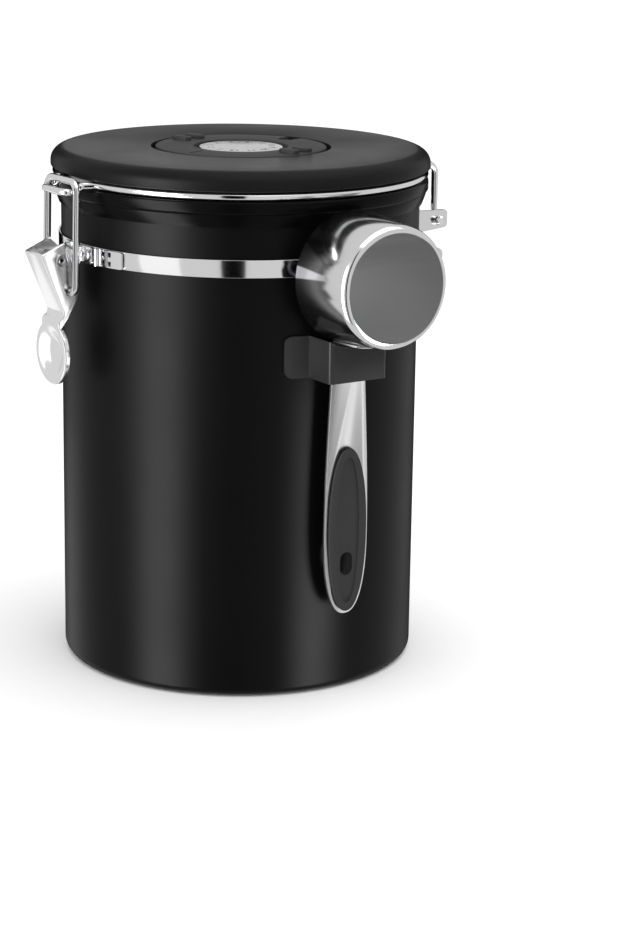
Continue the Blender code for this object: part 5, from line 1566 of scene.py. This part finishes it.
class CANISTER_OT_stage(bpy.types.Operator):
    """Build floor, light and camera"""
    bl_idname = "canister.stage"
    bl_label = "Stage"

    def world(self, scene, settings):
        """Even light from all round, dimmer in reflections, and white for the camera."""
        scene.world = bpy.data.worlds.new("studio")
        scene.world.use_nodes = True
        tree = scene.world.node_tree
        shown = feed(tree, tree.nodes["Background"], {"Color": WHITE, "Strength": settings.ambient})
        rays = node(tree, "ShaderNodeLightPath", {}).outputs
        for ray, strength in (("Is Glossy Ray", settings.mirrored), ("Is Camera Ray", 1)):
            other = node(tree, "ShaderNodeBackground", {"Color": WHITE, "Strength": strength})
            inputs = {"Fac": rays[ray], 1: shown.outputs[0], 2: other.outputs[0]}
            shown = node(tree, "ShaderNodeMixShader", inputs)
        feed(tree, tree.nodes["World Output"], {"Surface": shown.outputs["Shader"]})

    def floor(self, settings):
        deselect()
        bpy.ops.mesh.primitive_plane_add(size=settings.floor_size, location=-settings.floor_drop * Z)
        made = bpy.context.object
        made.name = "floor"
        finish = bpy.data.materials.new("floor")
        finish.use_nodes = True
        shader = finish.node_tree.nodes["Principled BSDF"]
        shader.inputs["Base Color"].default_value = (*settings.floor_colour, 1)
        shader.inputs["Roughness"].default_value = 0.9
        shader.inputs["Specular IOR Level"].default_value = 0
        made.data.materials.append(finish)
        made.visible_glossy = False

    def camera(self, scene, settings):
        look = settings.camera_turn + settings.camera_yaw
        pitch = settings.camera_pitch
        roll = settings.camera_roll
        ahead = Vector((-sin(look) * cos(pitch), cos(look) * cos(pitch), -sin(pitch)))
        right = Vector((cos(look), sin(look), 0))
        up = right.cross(ahead)
        side = right * cos(roll) + up * sin(roll)
        top = up * cos(roll) - right * sin(roll)
        deselect()
        place = around(settings.camera_turn, settings.camera_reach, settings.camera_height)
        bpy.ops.object.camera_add(location=place)
        made = bpy.context.object
        made.name = "camera"
        made.rotation_euler = Matrix((side, top, -ahead)).transposed().to_euler()
        made.data.lens = settings.camera_lens
        made.data.sensor_width = 36
        made.data.clip_start = 0.01
        made.data.clip_end = 100
        scene.camera = made

    def strips(self, settings):
        """Two bright strips give the highlights. The flat steel pieces don't mirror them: they burn out."""
        latch = ("latch_lever", "latch_pivot", "bail_wire")
        place = around(radians(-80), reach=0.5, height=0.0)
        made = card("left_strip", place, aim_at=ORIGIN, size=STRIP_SIZE, brightness=settings.left_strip)
        linked(made, latch + ("month_disc", "neck_band"), "EXCLUDE")
        place = around(radians(17), reach=0.5, height=-0.185)
        aim = place.z * Z
        made = card("right_strip", place, aim_at=aim, size=(0.20, 0.43), brightness=settings.right_strip)
        linked(made, latch + ("scoop_handle", "scoop_holder"), "EXCLUDE")

    def own_lamps(self, settings):
        """Soft boxes that light only the flat steel pieces."""
        place = around(radians(-80), reach=0.499, height=0.0)
        made = softbox("band_box", place, aim_at=ORIGIN, size=STRIP_SIZE, brightness=settings.band_light)
        linked(made, ("neck_band",))
        place = around(radians(28), reach=BOX_REACH, height=-0.12)
        aim = (0, -0.07, 0.07)
        made = softbox("handle_box", place, aim_at=aim, size=(0.30, 0.30), brightness=settings.handle_light)
        linked(made, ("scoop_handle", "scoop_holder"))
        place = around(radians(24), reach=BOX_REACH, height=0.0)
        aim = (-0.07, 0, 0.12)
        made = softbox("wall_box", place, aim_at=aim, size=(0.36, 0.36), brightness=settings.wall_light)
        linked(made, ("latch_lever",))
        place = around(radians(-101), reach=BOX_REACH, height=0.0)
        made = softbox("lever_box", place, aim_at=aim, size=(0.32, 0.40), brightness=settings.lever_light)
        linked(made, ("latch_lever",))

    def cards(self, settings):
        """Black cards give the dark edges of the round pieces, grey ones what scoop and lever mirror."""
        blacks = {
            "black_line": (radians(-35.5), 0.1, (0.15, 1.2)),
            "black_left": (radians(-187), -0.05, (0.26, 1.0)),
            "black_right": (radians(126), -0.05, (0.26, 1.0)),
        }
        for name, (turn, height, size) in blacks.items():
            card(name, around(turn, reach=0.6, height=height), aim_at=height * Z, size=size)
        card("grey_card", place=(0.050, -0.180, 0.121), aim_at=(0, -0.094, 0.143), size=(0.115, 0.085),
             brightness=settings.grey_card)
        card("web_card", place=(-0.135, 0.41, -0.12), aim_at=(-0.075, 0, 0.13), size=(0.22, 0.20),
             brightness=settings.web_card)
        card("spoon_card", place=(-0.345, 0.41, 0.03), aim_at=(-0.075, 0, 0.12), size=(0.20, 0.24),
             brightness=settings.spoon_card)

    def execute(self, context):
        settings = context.scene.canister_stage
        context.scene.view_settings.view_transform = "Standard"
        self.world(context.scene, settings)
        self.floor(settings)
        self.camera(context.scene, settings)
        place = around(radians(20), reach=0.35, height=1.3)
        softbox("top", place, aim_at=(0, 0, 0.09), size=(1.4, 1.2), brightness=settings.top_light)
        self.strips(settings)
        self.own_lamps(settings)
        self.cards(settings)
        return {"FINISHED"}


GROUPS = {
    "canister_jar": JarSizes,
    "canister_strap": StrapSizes,
    "canister_latch": LatchSizes,
    "canister_hinge": HingeSizes,
    "canister_wire": WireSizes,
    "canister_lid": LidSizes,
    "canister_dial": DialSizes,
    "canister_vent": VentSizes,
    "canister_scoop": ScoopSizes,
    "canister_finishes": Finishes,
    "canister_stage": StageSettings,
}
OPERATORS = (
    CANISTER_OT_finishes,
    CANISTER_OT_jar,
    CANISTER_OT_strap,
    CANISTER_OT_latch,
    CANISTER_OT_hinge,
    CANISTER_OT_lid,
    CANISTER_OT_dial,
    CANISTER_OT_vent,
    CANISTER_OT_scoop,
    CANISTER_OT_kept,
    CANISTER_OT_stage,
)


class CANISTER_PT_panel(bpy.types.Panel):
    """Lists the steps of the model"""
    bl_idname = "CANISTER_PT_panel"
    bl_label = "Coffee canister"
    bl_space_type = "VIEW_3D"
    bl_region_type = "UI"
    bl_category = "Canister"

    def draw(self, context):
        for step in OPERATORS:
            self.layout.operator(step.bl_idname)


def register():
    for name, group in GROUPS.items():
        bpy.utils.register_class(group)
        setattr(bpy.types.Scene, name, PointerProperty(type=group))
    for step in OPERATORS:
        bpy.utils.register_class(step)
    bpy.utils.register_class(CANISTER_PT_panel)


def unregister():
    bpy.utils.unregister_class(CANISTER_PT_panel)
    for step in reversed(OPERATORS):
        bpy.utils.unregister_class(step)
    for name, group in GROUPS.items():
        delattr(bpy.types.Scene, name)
        bpy.utils.unregister_class(group)


def main():
    register()
    bpy.ops.canister.finishes()
    bpy.ops.canister.jar()
    bpy.ops.canister.strap()
    bpy.ops.canister.latch()
    bpy.ops.canister.hinge()
    bpy.ops.canister.lid()
    bpy.ops.canister.dial()
    bpy.ops.canister.vent()
    bpy.ops.canister.scoop()
    bpy.ops.canister.kept()
    bpy.ops.canister.stage()
    bpy.context.view_layer.update()


if __name__ == "__main__":
    main()
